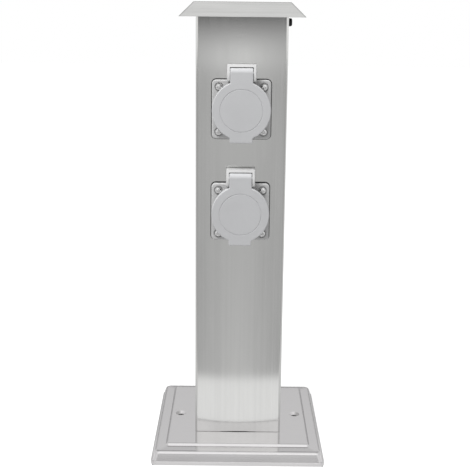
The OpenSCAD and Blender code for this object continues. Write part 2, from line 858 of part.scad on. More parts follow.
module flange_nuts() color(ZINC) at_corners(flange_screw_pitch)
    translate([0, 0, -col_t - flange_nut_t])
        hex_nut(flange_nut_w, flange_nut_t, flange_screw_d + 2 * thread_play);

// Lid

module lid() color(PLASTIC) difference() {
    union() {
        rotate_extrude() polygon([
            [0, lid_back], [lid_r, lid_back], [lid_r, lid_front - lid_chamfer],
            [lid_r - lid_chamfer, lid_front], [0, lid_front]
        ]);
        translate([-tab_w / 2, -lid_r - tab_drop, lid_front - tab_t])
            cube([tab_w, lid_r / 2, tab_t]);
        translate([-tongue_w / 2, lid_in_r / 2, lid_front - tongue_t])
            cube([tongue_w, hinge_rise - lid_in_r / 2, tongue_t]);
        hinge_bar(knuckle_d, tongue_w);
    }
    translate([0, 0, lid_back - past]) cylinder(r = lid_in_r, h = lid_depth - lid_t + past);
    hinge_bar(pin_d + 2 * pin_play, tongue_w + 2 * past);
    hinge_bar(2 * spring_room_r, spring_room_w);
    // Opening behind the knuckle for the spring's leg
    translate([-spring_room_w / 2, hinge_rise - knuckle_d, hinge_fwd - knuckle_d])
        cube([spring_room_w, 2 * knuckle_d, knuckle_d - spring_wire / 2]);
    rotate_extrude() translate([ring_d / 2, lid_front - ring_depth]) square([ring_w, past]);
}

// Rubber ring that shuts on the rim
module lid_seal() color(BLACK) translate([0, 0, rim_front + seal_gap]) difference() {
    cylinder(r = rim_r + seal_outside, h = seal_t);
    translate([0, 0, -past]) cylinder(r = well_r - seal_inside, h = seal_t + 2 * past);
}

module hinge_pin() color(ZINC) hinge_bar(pin_d, pin_len);

// Closing spring: curls around the pin, and a leg down to the flange
function spring_path() =
    let (
        r = spring_d / 2,
        x = spring_len / 2,
        steps = spring_curls * rings_per_curl,
        back = hinge_fwd - r
    )
    concat(
        [[-x, hinge_rise + spring_wire, back]],
        [for (i = [0 : steps])
            let (a = 180 + 360 * i / rings_per_curl)
                [x * (2 * i / steps - 1), hinge_rise + r * sin(a), hinge_fwd + r * cos(a)]],
        [[x, hinge_rise - knuckle_r, back],
         [x, (hinge_rise - knuckle_r + spring_leg_y) / 2, back - spring_knee_back],
         [x, spring_leg_y + spring_leg_rise, back - spring_foot_back],
         [x, spring_leg_y, flange_front + 2 * spring_wire],
         [x, spring_leg_y, flange_front + spring_wire / 10]]
    );

module hinge_spring() color(ZINC) {
    path = spring_path();
    apart = rings_per_curl - 2;
    least_gap = min([
        for (i = [0 : len(path) - 1 - apart], j = [i + apart : len(path) - 1]) norm(path[i] - path[j])
    ]) - spring_wire;
    echo(hinge_spring_least_gap = least_gap);
    tube(path, spring_wire, 6, [1, 0, 0]);
}

// Wiring

module at_poles() {
    for (pole = [-1, 0, 1]) translate([pole * block_pitch, block_mid, block_z]) children();
}

// Lays a piece along Y, heading towards the front, at the block's screws
module facing_front(y) {
    translate([0, y, 0]) rotate([90, 0, 0]) children();
}

module at_block_fixings() {
    for (side = [-1, 1]) translate([side * block_pitch / 2, 0, block_z]) children();
}

module terminal_block() color([0.90, 0.90, 0.86]) difference() {
    translate([-block_w / 2, block_front, block_z - block_h / 2]) cube([block_w, block_depth, block_h]);
    at_poles() {
        cube([clamp_w + 2 * clamp_gap, clamp_w + 2 * clamp_gap, block_h + 2 * past], center = true);
        for (side = [-1, 1]) translate([0, 0, side * clamp_screw_rise])
            facing_front(0) cylinder(d = clamp_head_d + 2 * clamp_gap, h = block_depth / 2 + past);
    }
    at_block_fixings() facing_front(block_back + past)
        cylinder(d = block_fix_d + 2 * shank_play, h = block_depth + 2 * past);
}

module block_clamps() color(BRASS) at_poles() difference() {
    cube([clamp_w, clamp_w, clamp_len], center = true);
    cylinder(d = wire_hole_d, h = clamp_len + 2 * past, center = true);
    for (side = [-1, 1]) translate([0, 0, side * clamp_screw_rise])
        facing_front(0) cylinder(d = clamp_screw_d + 2 * thread_play, h = clamp_w);
}

module block_screws() color(ZINC) {
    tip = wire_d / 2 + wire_play / 2;
    head = clamp_w / 2 + clamp_head_gap;
    at_poles() for (side = [-1, 1]) translate([0, 0, side * clamp_screw_rise]) {
        facing_front(-tip) cylinder(d = clamp_screw_d, h = head - tip);
        facing_front(-head) slot_head(clamp_head_d, clamp_head_h);
    }
}

// Hat-shaped bracket welded to the column's back wall
module block_bracket() color(ZINC) difference() {
    translate([0, 0, block_z - bracket_h / 2]) linear_extrude(bracket_h) {
        translate([-bracket_x, block_back]) square([2 * bracket_x, bracket_t]);
        for (side = [0, 1]) mirror([side, 0]) {
            translate([bracket_x - bracket_t, block_back]) square([bracket_t, block_standoff]);
            translate([bracket_x - bracket_t, col_in - bracket_t])
                square([bracket_foot + bracket_t, bracket_t]);
        }
    }
    at_block_fixings() facing_front(block_back + bracket_t + past)
        cylinder(d = block_fix_d + 2 * shank_play, h = bracket_t + 2 * past);
}

module block_fixings() color(ZINC) {
    tip = block_back + bracket_t + block_nut_t + block_fix_past;
    at_block_fixings() {
        facing_front(tip) cylinder(d = block_fix_d, h = tip - block_front);
        facing_front(block_front) pan_head(block_fix_head_d, block_fix_head_h);
    }
}

module block_nuts() color(ZINC) at_block_fixings()
    facing_front(block_back + bracket_t + block_nut_t)
        hex_nut(block_nut_w, block_nut_t, block_fix_d + 2 * thread_play);

// Route of a wire from the upper socket's terminal down to the lower socket's
function chain_route(x, drop, swing) = [
    [x, socket_wire_y, upper_z - drop - wire_grip],
    [x, socket_wire_y, upper_z - drop - wire_exit],
    [x, socket_wire_y, upper_z - drop - wire_straight],
    [x + swing.x, socket_wire_y + swing.y, upper_z - socket_pitch * 0.35],
    [x + swing.x, socket_wire_y + swing.y, lower_z + socket_pitch * 0.35],
    [x, socket_wire_y, lower_z - drop + wire_straight],
    [x, socket_wire_y, lower_z - drop + wire_exit],
    [x, socket_wire_y, lower_z - drop + wire_grip]
];

// Route of a wire from the lower socket's terminal down to the supply block
function feed_route(x, drop, pole, swing) =
    let (start = lower_z - drop, end = block_z + block_h / 2, fall = start - end) [
        [x, socket_wire_y, start - wire_grip],
        [x, socket_wire_y, start - wire_exit],
        [x, socket_wire_y, start - wire_straight],
        [x + swing, socket_wire_y * 0.7 + block_mid * 0.3, start - fall * 0.4],
        [pole + swing, socket_wire_y * 0.2 + block_mid * 0.8, end + fall * 0.35],
        [pole, block_mid, end + wire_straight],
        [pole, block_mid, end - clamp_len / 2 + wire_straight / 2]
    ];

// Route of the bonding wire from the block's middle pole to the lug at the column's foot
function bond_route() =
    let (start = block_z - block_h / 2, lug_x = foot_bolt_x - lug_r, lug_y = foot_bolt_pitch / 2) [
        [0, block_mid, start + clamp_len / 2 - wire_straight / 2],
        [0, block_mid, start - wire_straight],
        [-wire_swing, block_mid, start * 0.7 + lug_z * 0.3],
        [-2 * wire_swing, (block_mid + lug_y) / 2, start * 0.3 + lug_z * 0.7],
        [0, lug_y, lug_z + wire_swing],
        [lug_x - lug_barrel_len - wire_straight / 2, lug_y, lug_z],
        [lug_x - lug_barrel_len, lug_y, lug_z],
        [lug_x - lug_barrel_len / 3, lug_y, lug_z]
    ];

module wire(route) {
    tube(curve(route, wire_steps), wire_d, wire_sides, [0, 1, 0]);
}

module live_wires() color(BROWN) {
    wire(chain_route(-pole_x, 0, [-wire_swing, wire_swing]));
    wire(feed_route(-pole_x, 0, -block_pitch, -wire_swing));
}

module neutral_wires() color(BLUE) {
    wire(chain_route(pole_x, 0, [wire_swing, wire_swing]));
    wire(feed_route(pole_x, 0, block_pitch, wire_swing));
}

module earth_wires() color(GREEN) {
    wire(chain_route(0, earth_drop, [0, wire_swing]));
    wire(feed_route(0, earth_drop, 0, 0));
    wire(bond_route());
}

// Ring lug under one foot nut, its barrel towards the middle
module earth_lug() color(BRASS) {
    lug_x = foot_bolt_x - lug_r;
    translate([0, foot_bolt_pitch / 2, 0]) difference() {
        union() {
            translate([foot_bolt_x, 0, foot_top]) cylinder(r = lug_r, h = lug_t);
            translate([lug_x - lug_barrel_len / 2, -lug_barrel_d / 2, foot_top])
                cube([lug_barrel_len / 2 + lug_r / 2, lug_barrel_d, lug_t]);
            translate([lug_x - lug_barrel_len, 0, lug_z]) rotate([0, 90, 0])
                cylinder(d = lug_barrel_d, h = lug_barrel_len);
        }
        translate([foot_bolt_x, 0, foot_top - past])
            cylinder(d = foot_bolt_hole_d, h = lug_t + 2 * past);
        translate([lug_x - lug_barrel_len - past, 0, lug_z]) rotate([0, 90, 0])
            cylinder(d = wire_hole_d, h = lug_barrel_len + 2 * past);
        translate([foot_bolt_x, 0, foot_top + lug_t])
            cylinder(d = foot_nut_w / cos(30) + 2 * foot_nut_room, h = lug_barrel_d);
    }
}

base_plate();
cable_grommet();
foot_brackets();
foot_bolts();
foot_nuts();
column();
cap();
cap_collar();
cap_screw();
cap_washer();
cap_nut();
at_socket(upper_z) gasket();  // upper_gasket
at_socket(upper_z) housing();  // upper_housing
at_socket(upper_z) carrier();  // upper_carrier
at_socket(upper_z) contact_sleeves();  // upper_contact_sleeves
at_socket(upper_z) earth_clip();  // upper_earth_clip
at_socket(upper_z) terminal_screws();  // upper_terminal_screws
at_socket(upper_z) flange_screws();  // upper_flange_screws
at_socket(upper_z) flange_nuts();  // upper_flange_nuts
at_socket(upper_z) lid();  // upper_lid
at_socket(upper_z) lid_seal();  // upper_lid_seal
at_socket(upper_z) hinge_pin();  // upper_hinge_pin
at_socket(upper_z) hinge_spring();  // upper_hinge_spring
at_socket(lower_z) gasket();  // lower_gasket
at_socket(lower_z) housing();  // lower_housing
at_socket(lower_z) carrier();  // lower_carrier
at_socket(lower_z) contact_sleeves();  // lower_contact_sleeves
at_socket(lower_z) earth_clip();  // lower_earth_clip
at_socket(lower_z) terminal_screws();  // lower_terminal_screws
at_socket(lower_z) flange_screws();  // lower_flange_screws
at_socket(lower_z) flange_nuts();  // lower_flange_nuts
at_socket(lower_z) lid();  // lower_lid
at_socket(lower_z) lid_seal();  // lower_lid_seal
at_socket(lower_z) hinge_pin();  // lower_hinge_pin
at_socket(lower_z) hinge_spring();  // lower_hinge_spring
terminal_block();
block_clamps();
block_screws();
block_bracket();
block_fixings();
block_nuts();
live_wires();
neutral_wires();
earth_wires();
earth_lug();
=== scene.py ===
"""Looks of a garden socket post: brushed steel column, pressed base, roof cap and lidded sockets."""

import json
import math
from types import SimpleNamespace

import bmesh
import bpy
from bpy.props import FloatProperty, FloatVectorProperty, PointerProperty
from mathutils import Matrix, Vector


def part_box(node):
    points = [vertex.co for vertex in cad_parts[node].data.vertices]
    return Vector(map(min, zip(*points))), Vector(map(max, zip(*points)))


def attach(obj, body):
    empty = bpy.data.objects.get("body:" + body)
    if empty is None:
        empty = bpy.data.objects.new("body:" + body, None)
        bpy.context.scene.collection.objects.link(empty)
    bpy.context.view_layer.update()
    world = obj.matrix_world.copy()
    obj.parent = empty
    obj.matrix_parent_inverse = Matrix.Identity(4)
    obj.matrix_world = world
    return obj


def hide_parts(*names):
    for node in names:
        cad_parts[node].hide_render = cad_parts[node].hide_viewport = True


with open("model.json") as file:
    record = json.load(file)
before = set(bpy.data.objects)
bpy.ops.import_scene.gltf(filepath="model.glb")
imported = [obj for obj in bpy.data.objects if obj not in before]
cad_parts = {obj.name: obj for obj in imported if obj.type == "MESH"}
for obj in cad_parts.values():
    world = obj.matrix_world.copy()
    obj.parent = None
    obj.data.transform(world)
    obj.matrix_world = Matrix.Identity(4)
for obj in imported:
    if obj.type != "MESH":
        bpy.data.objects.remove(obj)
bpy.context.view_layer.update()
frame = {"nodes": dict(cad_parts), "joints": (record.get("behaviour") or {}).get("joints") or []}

bl_info = {
    "name": "Garden socket post",
    "version": (1, 0, 0),
    "blender": (4, 5, 0),
    "location": "3D View > Sidebar > Socket post",
    "description": "Builds the looks of a garden socket post around its packed frame",
    "category": "Object",
}

MM = 0.001

# Steps on a full circle, on a square's rounded corner and on a small rounded edge
ROUND_STEPS = 96
CORNER_STEPS = 8
EDGE_STEPS = 5

# Folds sharper than this keep a hard edge in the shading
SHARP_FOLD = math.radians(38)

# Corners closer than this, in millimetres, are one corner
WELD = 0.002

# How far a cutting tool reaches past what it cuts, in millimetres
PAST = 1

SOCKETS = ("upper", "lower")


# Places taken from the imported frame, in millimetres

def span(node):
    """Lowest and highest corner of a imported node, in millimetres."""
    low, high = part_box(node)
    return low / MM, high / MM


def socket_centre(side):
    """Middle of a socket on the column's front face."""
    low, high = span(side + "_gasket")
    return Vector((0, high.y, (low.z + high.z) / 2))


def socket_matrix(side):
    """Turns a socket's own frame, X right, Y up and Z forward, to its place on the column."""
    return Matrix.Translation(socket_centre(side)) @ Matrix.Rotation(math.radians(90), 4, "X")


def depths(node):
    """How far in front of the column's face a node begins and ends."""
    low, high = span(node)
    face = span("column")[0].y
    return face - high.y, face - low.y


def hinge_place():
    """How far a lid's hinge lies above the socket's middle and in front of the column."""
    joint = next(j for j in frame["joints"] if j["child"] == "upper_flap")
    pin = Vector(joint["pos_m"]) / MM - socket_centre("upper")
    return pin.z, -pin.y


# Settings that a user may change

def length(name, description, size):
    """A length, given in millimetres."""
    return FloatProperty(
        name=name, description=description, default=size * MM, unit="LENGTH", precision=5
    )


def turn(name, description, degrees):
    """An angle, given in degrees."""
    return FloatProperty(
        name=name, description=description, default=math.radians(degrees), subtype="ANGLE"
    )


def share(name, description, value):
    """A share from nothing to all."""
    return FloatProperty(
        name=name, description=description, default=value, min=0, max=1, subtype="FACTOR"
    )


def colour(name, description, value):
    """A colour as red, green and blue."""
    return FloatVectorProperty(
        name=name, description=description, default=value, min=0, max=1, subtype="COLOR"
    )


class BaseSizes(bpy.types.PropertyGroup):
    """Sizes of the pressed base"""

    plate_width: length("Plate width", "Width of the raised plate", 129)
    plate_step: length("Plate step", "Drop from the raised plate to the ledge", 2.1)
    step_lean: turn("Step lean", "Lean of that step from upright", 35)
    plate_edge: length("Plate edge", "Radius of the raised plate's upper edge", 1.5)
    plate_root: length("Plate root", "Radius where the step meets the ledge", 0.5)
    plate_corner: length("Plate corner", "Corner radius of the raised plate", 3.2)
    ledge_fall: length("Ledge fall", "How far the ledge falls towards its outside", 0.55)
    shoulder: length("Shoulder", "Radius of the shoulder outside the ledge", 3.2)
    skirt_lean: turn("Skirt lean", "Lean of the skirt from upright", 18)
    lip_height: length("Lip height", "Height of the upright lip at the floor", 3.7)
    lip_step: length("Lip step", "How far the lip stands out from the skirt", 0.7)
    lip_edge: length("Lip edge", "Radius of the lip's edges", 0.6)
    lip_corner: length("Lip corner", "Corner radius of the lip", 4.8)
    sheet: length("Sheet", "Thickness of the sheet", 1.2)
    fixing_pitch: length("Fixing pitch", "Distance between the ground-fixing holes", 108.6)
    fixing_hole: length("Fixing hole", "Diameter of a ground-fixing hole", 5.5)
    dimple_width: length("Dimple width", "Diameter of the dimple around such a hole", 9.2)
    dimple_depth: length("Dimple depth", "Depth of that dimple", 1.8)
    dimple_edge: length("Dimple edge", "Softened edge of the dimple", 0.35)
    hole_edge: length("Hole edge", "Thickness of the thinned edge of such a hole", 0.3)
    cable_hole: length("Cable hole", "Diameter of the supply cable's hole", 16)
    bolt_hole: length("Bolt hole", "Diameter of the foot bolts' holes", 5.5)
    bolt_x: length("Bolt place, across", "Foot bolts' distance from the middle, across", 27)
    bolt_y: length("Bolt place, deep", "Foot bolts' distance from the middle, front to back", 18)
    grommet_bore: length("Grommet bore", "Bore of the rubber grommet", 10)
    grommet_lip: length("Grommet lip", "How far the grommet's lips reach past the hole", 2.5)
    grommet_gap: length("Grommet gap", "Play of the grommet's neck in the hole", 0.1)
    grommet_edge: length("Grommet edge", "Radius of the grommet's edges", 0.7)


class ColumnSizes(bpy.types.PropertyGroup):
    """Sizes of the square column"""

    sheet: length("Sheet", "Thickness of the sheet", 1)
    corner: length("Corner", "Radius of the upright corners", 2.5)
    sawn_edge: length("Sawn edge", "Softened edge of the foot", 0.5)
    drain_width: length("Drain width", "Width of the gap that lets water out at the foot", 42)
    drain_height: length("Drain height", "Height of that gap in its middle", 0.5)
    cap_hole: length("Cap hole", "Diameter of the hole for the cap's screw", 4.5)


class CapSizes(bpy.types.PropertyGroup):
    """Sizes of the folded roof cap"""

    top_edge: length("Top edge", "How far the flat top reaches past the column", 1.75)
    sheet: length("Sheet", "Thickness of the sheet", 1)
    fold: length("Fold", "Radius of the fold around the flat top", 1.7)
    hip: length("Hip", "Radius of the folds between the slopes", 1.3)
    eave_edge: length("Eave edge", "Softened edge of the eaves", 0.15)


class SocketSizes(bpy.types.PropertyGroup):
    """Sizes of a socket and its lid"""

    gasket: length("Gasket", "Thickness of the gasket", 1.5)
    gasket_corner: length("Gasket corner", "Corner radius of the gasket", 4.4)
    gasket_edge: length("Gasket edge", "Radius of the gasket's edges", 0.35)
    gasket_draw: length("Gasket draw", "How far the squeezed gasket draws in", 0.15)
    cutout: length("Cut-out", "Diameter of the hole in the column and the gasket", 43.5)
    flange: length("Flange", "Thickness of the flange", 3.5)
    flange_corner: length("Flange corner", "Corner radius of the flange", 3.5)
    flange_edge: length("Flange edge", "Radius of the flange's front edge", 1.1)
    flange_back: length("Flange back edge", "Softened back edge of the flange", 0.275)
    screw_pitch: length("Screw pitch", "Distance between the flange's screws", 38)
    screw_hole: length("Screw hole", "Diameter of the screws' holes", 4)
    screw_shank: length("Screw shank", "Diameter of the screws' shanks", 3.5)
    screw_head: length("Screw head", "Diameter of the screws' heads", 5.8)
    head_rim: length("Head rim", "Height of a head's upright rim", 0.5)
    cross_length: length("Cross length", "Length of the cross in a head", 3.4)
    cross_width: length("Cross width", "Width of that cross", 0.9)
    cross_depth: length("Cross depth", "Depth of that cross", 1.3)
    screw_land: length("Screw land", "Diameter of the land under a screw's head", 6.1)
    screw_moat: length("Screw moat", "Diameter of the moat around that land", 7.7)
    moat_depth: length("Moat depth", "Depth of that moat", 0.9)
    well: length("Well", "Diameter of the plug's well", 39.5)
    rim_wall: length("Rim wall", "Wall of the round rim", 2.25)
    rim_height: length("Rim height", "Height of the rim in front of the flange", 7.5)
    rim_edge: length("Rim edge", "Radius of the rim's edges", 0.6)
    rim_root: length("Rim root", "Radius where the rim meets the flange", 0.8)
    barrel_wall: length("Barrel wall", "Wall of the barrel inside the column", 1.55)
    guide_width: length("Guide width", "Width of the ribs that guide the plug", 4)
    guide_height: length("Guide height", "Height of those ribs", 1.6)
    guide_length: length("Guide length", "Length of those ribs", 11)
    guide_edge: length("Guide edge", "Radius of the ribs' edges", 0.5)
    well_depth: length("Well depth", "Depth of the plug's well", 17.5)
    ear: length("Ear", "How far the hood's ears reach in front of the pin", 3)
    ear_drop: length("Ear drop", "How far the ears run down below the pin", 7.2)
    ear_corner: length("Ear corner", "Radius of the ears' lower front corner", 1.2)
    ear_rise: length("Ear rise", "How far above the pin the ears' front stays upright", 1.2)
    hood_width: length("Hood width", "Width of the hood over the hinge", 24.6)
    hood_slot: length("Hood slot", "Width between the hood's ears", 19.9)
    hood_back: length("Hood back", "Thickness of the hood's back wall", 2)
    hood_bar: length("Hood bar", "Thickness of the hood's top bar", 2.2)
    hood_setback: length("Hood setback", "How far the top bar stands behind the pin", 1)
    hood_edge: length("Hood edge", "Radius of the hood's edges", 0.75)
    hood_root: length("Hood root", "How far the ears' roots stand in front of the flange", 1.5)
    hood_sink: length("Hood sink", "How far the hood's foot runs into the round rim", 2)
    pin: length("Pin", "Diameter of the hinge pin", 3)
    pin_hold: length("Pin hold", "Play of the pin in the ears", 0.02)
    pin_play: length("Pin play", "Running play of the lid on the pin", 0.05)
    lid_face: length("Lid face", "Thickness of the lid's face", 2.2)
    lid_depth: length("Lid depth", "Depth of the lid from its face to the skirt's edge", 6)
    lid_wall: length("Lid wall", "Wall of the lid's skirt", 1.7)
    lid_edge: length("Lid edge", "Radius of the lid's front edge", 0.85)
    skirt_edge: length("Skirt edge", "Radius of the lid's back edges", 0.4)
    skirt_inset: length("Skirt inset", "How far the skirt stands behind the lid's outline", 0.06)
    ring: length("Ring", "Diameter of the ring pressed into the lid", 35)
    ring_width: length("Ring width", "Width of that ring", 0.8)
    ring_depth: length("Ring depth", "Depth of that ring", 0.25)
    ring_slope: length("Ring slope", "Width of each of its sloping sides", 0.16)
    tongue_width: length("Tongue width", "Width of the lid's tongue", 19.2)
    tongue: length("Tongue", "Thickness of the tongue and the tab", 3)
    tongue_root: length("Tongue root", "Radius where the tongue meets the lid", 0.9)
    knuckle: length("Knuckle", "Diameter of the lid's knuckle", 8)
    tab_width: length("Tab width", "Width of the thumb tab", 19.4)
    tab_corner: length("Tab corner", "Corner radius of the tab", 1.3)
    tab_root: length("Tab root", "Radius where the tab meets the lid", 1.6)
    seal: length("Seal", "Thickness of the lid's sealing ring", 1.6)
    seal_outside: length("Seal outside", "How far the seal reaches past the rim", 0.4)
    seal_inside: length("Seal inside", "How far the seal reaches into the well", 0.5)
    seal_edge: length("Seal edge", "Radius of the seal's edges", 0.5)
    spring_wire: length("Spring wire", "Wire diameter of the closing spring", 0.6)
    spring_width: length("Spring width", "Mean diameter of the spring's curls", 4.4)
    spring_pitch: length("Spring pitch", "Distance from one curl to the next", 1.15)
    spring_room: length("Spring room", "Diameter of the room for the spring", 6.2)
    spring_room_width: length("Spring room width", "Width of that room", 10.4)
    spring_leg: length("Spring leg", "Height of the spring's foot over the socket's middle", 23.8)


class Finishes(bpy.types.PropertyGroup):
    """Colours and finishes"""

    column_steel: colour("Column steel", "Brushed steel of the column", (0.70, 0.70, 0.69))
    base_steel: colour("Base steel", "Satin steel of the base", (0.735, 0.722, 0.728))
    cap_steel: colour("Cap steel", "Brushed steel of the cap", (0.74, 0.74, 0.73))
    column_roughness: share("Column roughness", "How far the column's grain spreads light", 0.15)
    base_roughness: share("Base roughness", "How far the base's grain spreads light", 0.17)
    cap_roughness: share("Cap roughness", "How far the cap's grain spreads light", 0.24)
    grain_pull: share("Grain pull", "How much further light spreads across the grain", 0.86)
    streaks: share("Streaks", "How much lighter and darker the steel's streaks are", 0.05)
    cap_streaks: share("Cap streaks", "How much lighter and darker the cap's streaks are", 0.09)
    housing: colour("Housing", "Moulded plastic of the sockets", (0.52, 0.52, 0.52))
    lid: colour("Lid", "Moulded plastic of the lids", (0.522, 0.525, 0.535))
    carrier: colour("Carrier", "Insulating plastic in the sockets", (0.36, 0.37, 0.38))
    block: colour("Block", "Nylon of the terminal block", (0.84, 0.84, 0.80))
    rubber: colour("Rubber", "Rubber of gaskets, seals and grommet", (0.022, 0.022, 0.023))
    black_oxide: colour("Black oxide", "Blackened screw and washer", (0.016, 0.016, 0.017))
    stainless: colour("Stainless", "Bright stainless screws and pins", (0.74, 0.74, 0.74))
    zinc: colour("Zinc", "Zinc-plated inner parts", (0.70, 0.72, 0.75))
    brass: colour("Brass", "Brass contacts and clamps", (0.78, 0.60, 0.30))
    tinned: colour("Tinned brass", "Tinned brass of the earth parts", (0.76, 0.68, 0.50))
    brown: colour("Brown", "Insulation of the live wires", (0.18, 0.075, 0.03))
    blue: colour("Blue", "Insulation of the neutral wires", (0.03, 0.12, 0.45))
    green: colour("Green", "Green of the earth wires", (0.09, 0.38, 0.05))
    yellow: colour("Yellow", "Yellow stripe of the earth wires", (0.85, 0.72, 0.04))


class Stage(bpy.types.PropertyGroup):
    """Camera, floor and light"""

    camera_x: length("Camera across", "Camera's place across", -4.5)
    camera_y: length("Camera distance", "Camera's place from front to back", -816.7)
    camera_z: length("Camera height", "Camera's height over the floor", 392)
    camera_pitch: turn("Camera pitch", "How far the camera looks down", 12.18)
    camera_roll: turn("Camera roll", "How far the camera is turned about its view", 0.6)
    lens: FloatProperty(
        name="Lens", description="Focal length on a 36 mm sensor", default=70.0, unit="CAMERA"
    )
    shift_y: FloatProperty(name="Shift up", description="Lens shift upwards", default=-0.056)
    ambient_low: share("Ambient, low", "Light from the sides on matt surfaces", 0.24)
    ambient_high: share("Ambient, high", "Light from overhead on matt surfaces", 0.72)
    floor_bounce: share("Floor bounce", "Light from the floor on matt surfaces", 0.32)
    floor_white: share("Floor white", "Share of the floor's white that shadows spare", 0.87)
    sheet_front: length("Sheet in front", "How far the white sheet reaches before the post", 192)
    sheet_fade: length("Sheet fade", "Width over which that sheet ends", 25)
    sheet_level: share("Sheet level", "What metal sees of the white sheet", 0.97)
    table_level: share("Table level", "What metal sees of the table beside and behind", 0.74)
    table_shade: share("Table shade", "What metal sees of the table close to the base", 0.50)
    ground_level: share("Ground level", "What metal sees of the ground beyond that sheet", 0.67)
    ground_edge: share("Ground edge", "What metal sees of that ground towards the sides", 0.47)
    distance_level: share("Distance level", "What metal sees of the far ground", 0.65)
    distance_edge: share("Distance edge", "What metal sees of the far ground towards the sides", 0.46)
    distance_reach: length("Distance reach", "How far aside the far ground gets that dark", 600)
    window_level: share("Window level", "What metal sees more of a low window in front", 0.95)
    window_width: turn("Window width", "Half the window's width, seen from the post", 6)
    window_height: turn("Window height", "Half the window's height, seen from the post", 1.8)
    window_drop: turn("Window drop", "How far the window's middle lies below the horizon", 3.0)
    key_power: FloatProperty(
        name="Key light", description="Power of the key light", default=30.0, unit="POWER"
    )


def settings(group):
    """A group's values, its lengths in millimetres and its angles in degrees."""
    values = {}
    for name in type(group).__annotations__:
        value = getattr(group, name)
        unit = group.bl_rna.properties[name].unit
        if unit == "LENGTH":
            value = value / MM
        elif unit == "ROTATION":
            value = math.degrees(value)
        values[name] = value
    return SimpleNamespace(**values)


# Outlines and meshes, in millimetres

def arc(x, y, radius, start, end, steps=EDGE_STEPS):
    """Points of an arc about (x, y), from one angle to another in degrees."""
    angles = [math.radians(start + (end - start) * i / steps) for i in range(steps + 1)]
    return [(x + radius * math.cos(a), y + radius * math.sin(a)) for a in angles]


def rounded(x, y, radius, start, end):
    """The arc that rounds off a square corner at (x, y), from one angle to another in degrees."""
    middle = math.radians((start + end) / 2)
    aside = math.copysign(radius, math.cos(middle))
    up = math.copysign(radius, math.sin(middle))
    return arc(x - aside, y - up, radius, start, end)


def bow_radius(reach, rise):
    """Radius of an arc that rises so far in its middle and reaches so far to either side."""
    return (reach ** 2 + rise ** 2) / (2 * rise)


def circle(radius, z, x=0.0, y=0.0):
    """A level ring of points."""
    return [(px, py, z) for px, py in arc(x, y, radius, 0, 360, ROUND_STEPS)[:-1]]


def square(half, corner, z):
    """A level ring around a square with rounded corners."""
    middle = half - corner
    points = []
    for quarter, (x, y) in enumerate(((1, 1), (-1, 1), (-1, -1), (1, -1))):
        start = 90 * quarter
        bend = arc(x * middle, y * middle, corner, start, start + 90, CORNER_STEPS)
        points += [(px, py, z) for px, py in bend]
    return points


def hoop(radius, x, rise, forward):
    """An upright ring of points about an axis that runs across."""
    return [(x, rise + py, forward + pz) for py, pz in arc(0, 0, radius, 0, 360, ROUND_STEPS)[:-1]]


class Skin:
    """A mesh laid from rings of points."""

    def __init__(self):
        self.mesh = bmesh.new()

    def ring(self, points):
        """New corners of the mesh."""
        return [self.mesh.verts.new(point) for point in points]

    def bridge(self, first, second):
        """A closed band of faces between two rings."""
        for i in range(len(first)):
            j = (i + 1) % len(first)
            self.mesh.faces.new((first[i], first[j], second[j], second[i]))

    def loft(self, outlines, closed=False):
        """Bands through a row of outlines; gives the first and the last ring."""
        rings = [self.ring(outline) for outline in outlines]
        for first, second in zip(rings, rings[1:]):
            self.bridge(first, second)
        if closed:
            self.bridge(rings[-1], rings[0])
        return rings[0], rings[-1]

    def cap(self, *rings):
        """One face on each ring."""
        for ring in rings:
            self.mesh.faces.new(ring)

    def sheet(self, loops):
        """A flat sheet inside the first loop, with the other loops as holes."""
        edges = []
        for loop in loops:
            for i, corner in enumerate(loop):
                ends = (loop[i - 1], corner)
                edges.append(self.mesh.edges.get(ends) or self.mesh.edges.new(ends))
        bmesh.ops.triangle_fill(self.mesh, use_beauty=True, edges=edges)

    def pierced(self, outlines, holes):
        """A sheet's wall from its front round its edge to its back, with holes right through."""
        ends = [self.loft(rows) for rows in [outlines] + holes]
        self.sheet([first for first, last in ends])
        self.sheet([last for first, last in ends])

    def solid(self, name):
        """The finished mesh as an object, still in millimetres."""
        bmesh.ops.recalc_face_normals(self.mesh, faces=self.mesh.faces)
        data = bpy.data.meshes.new(name)
        self.mesh.to_mesh(data)
        self.mesh.free()
        obj = bpy.data.objects.new(name, data)
        bpy.context.scene.collection.objects.link(obj)
        return obj


def lathe(name, rows):
    """A solid turned about Z from rows of radius and height, closed into a ring."""
    skin = Skin()
    skin.loft([circle(radius, z) for radius, z in rows], closed=True)
    return skin.solid(name)


def disc(name, rows):
    """A solid turned about Z, with flat ends."""
    skin = Skin()
    skin.cap(*skin.loft([circle(radius, z) for radius, z in rows]))
    return skin.solid(name)


def spindle(name, rows, rise, forward):
    """A solid turned about an axis across, from rows of radius and place, with flat ends."""
    skin = Skin()
    skin.cap(*skin.loft([hoop(radius, x, rise, forward) for radius, x in rows]))
    return skin.solid(name)


def slab(name, outline, low, high, edge=0):
    """A side view, forward and up, run across from low to high, its edges rounded if asked."""
    skin = Skin()
    rows = [[(x, y, z) for z, y in outline] for x in (low, high)]
    skin.cap(*skin.loft(rows))
    bmesh.ops.recalc_face_normals(skin.mesh, faces=skin.mesh.faces)
    if edge:
        sharp = [e for e in skin.mesh.edges if e.calc_face_angle() > SHARP_FOLD]
        bmesh.ops.bevel(
            skin.mesh, geom=sharp, offset=edge, segments=EDGE_STEPS - 1, profile=0.5, affect="EDGES"
        )
    return skin.solid(name)


def cuboid(name, across, up, ahead, edge=0):
    """A block between two places across, two up and two forward."""
    (low, high), (back, front) = up, ahead
    outline = [(back, low), (front, low), (front, high), (back, high)]
    return slab(name, outline, *across, edge)


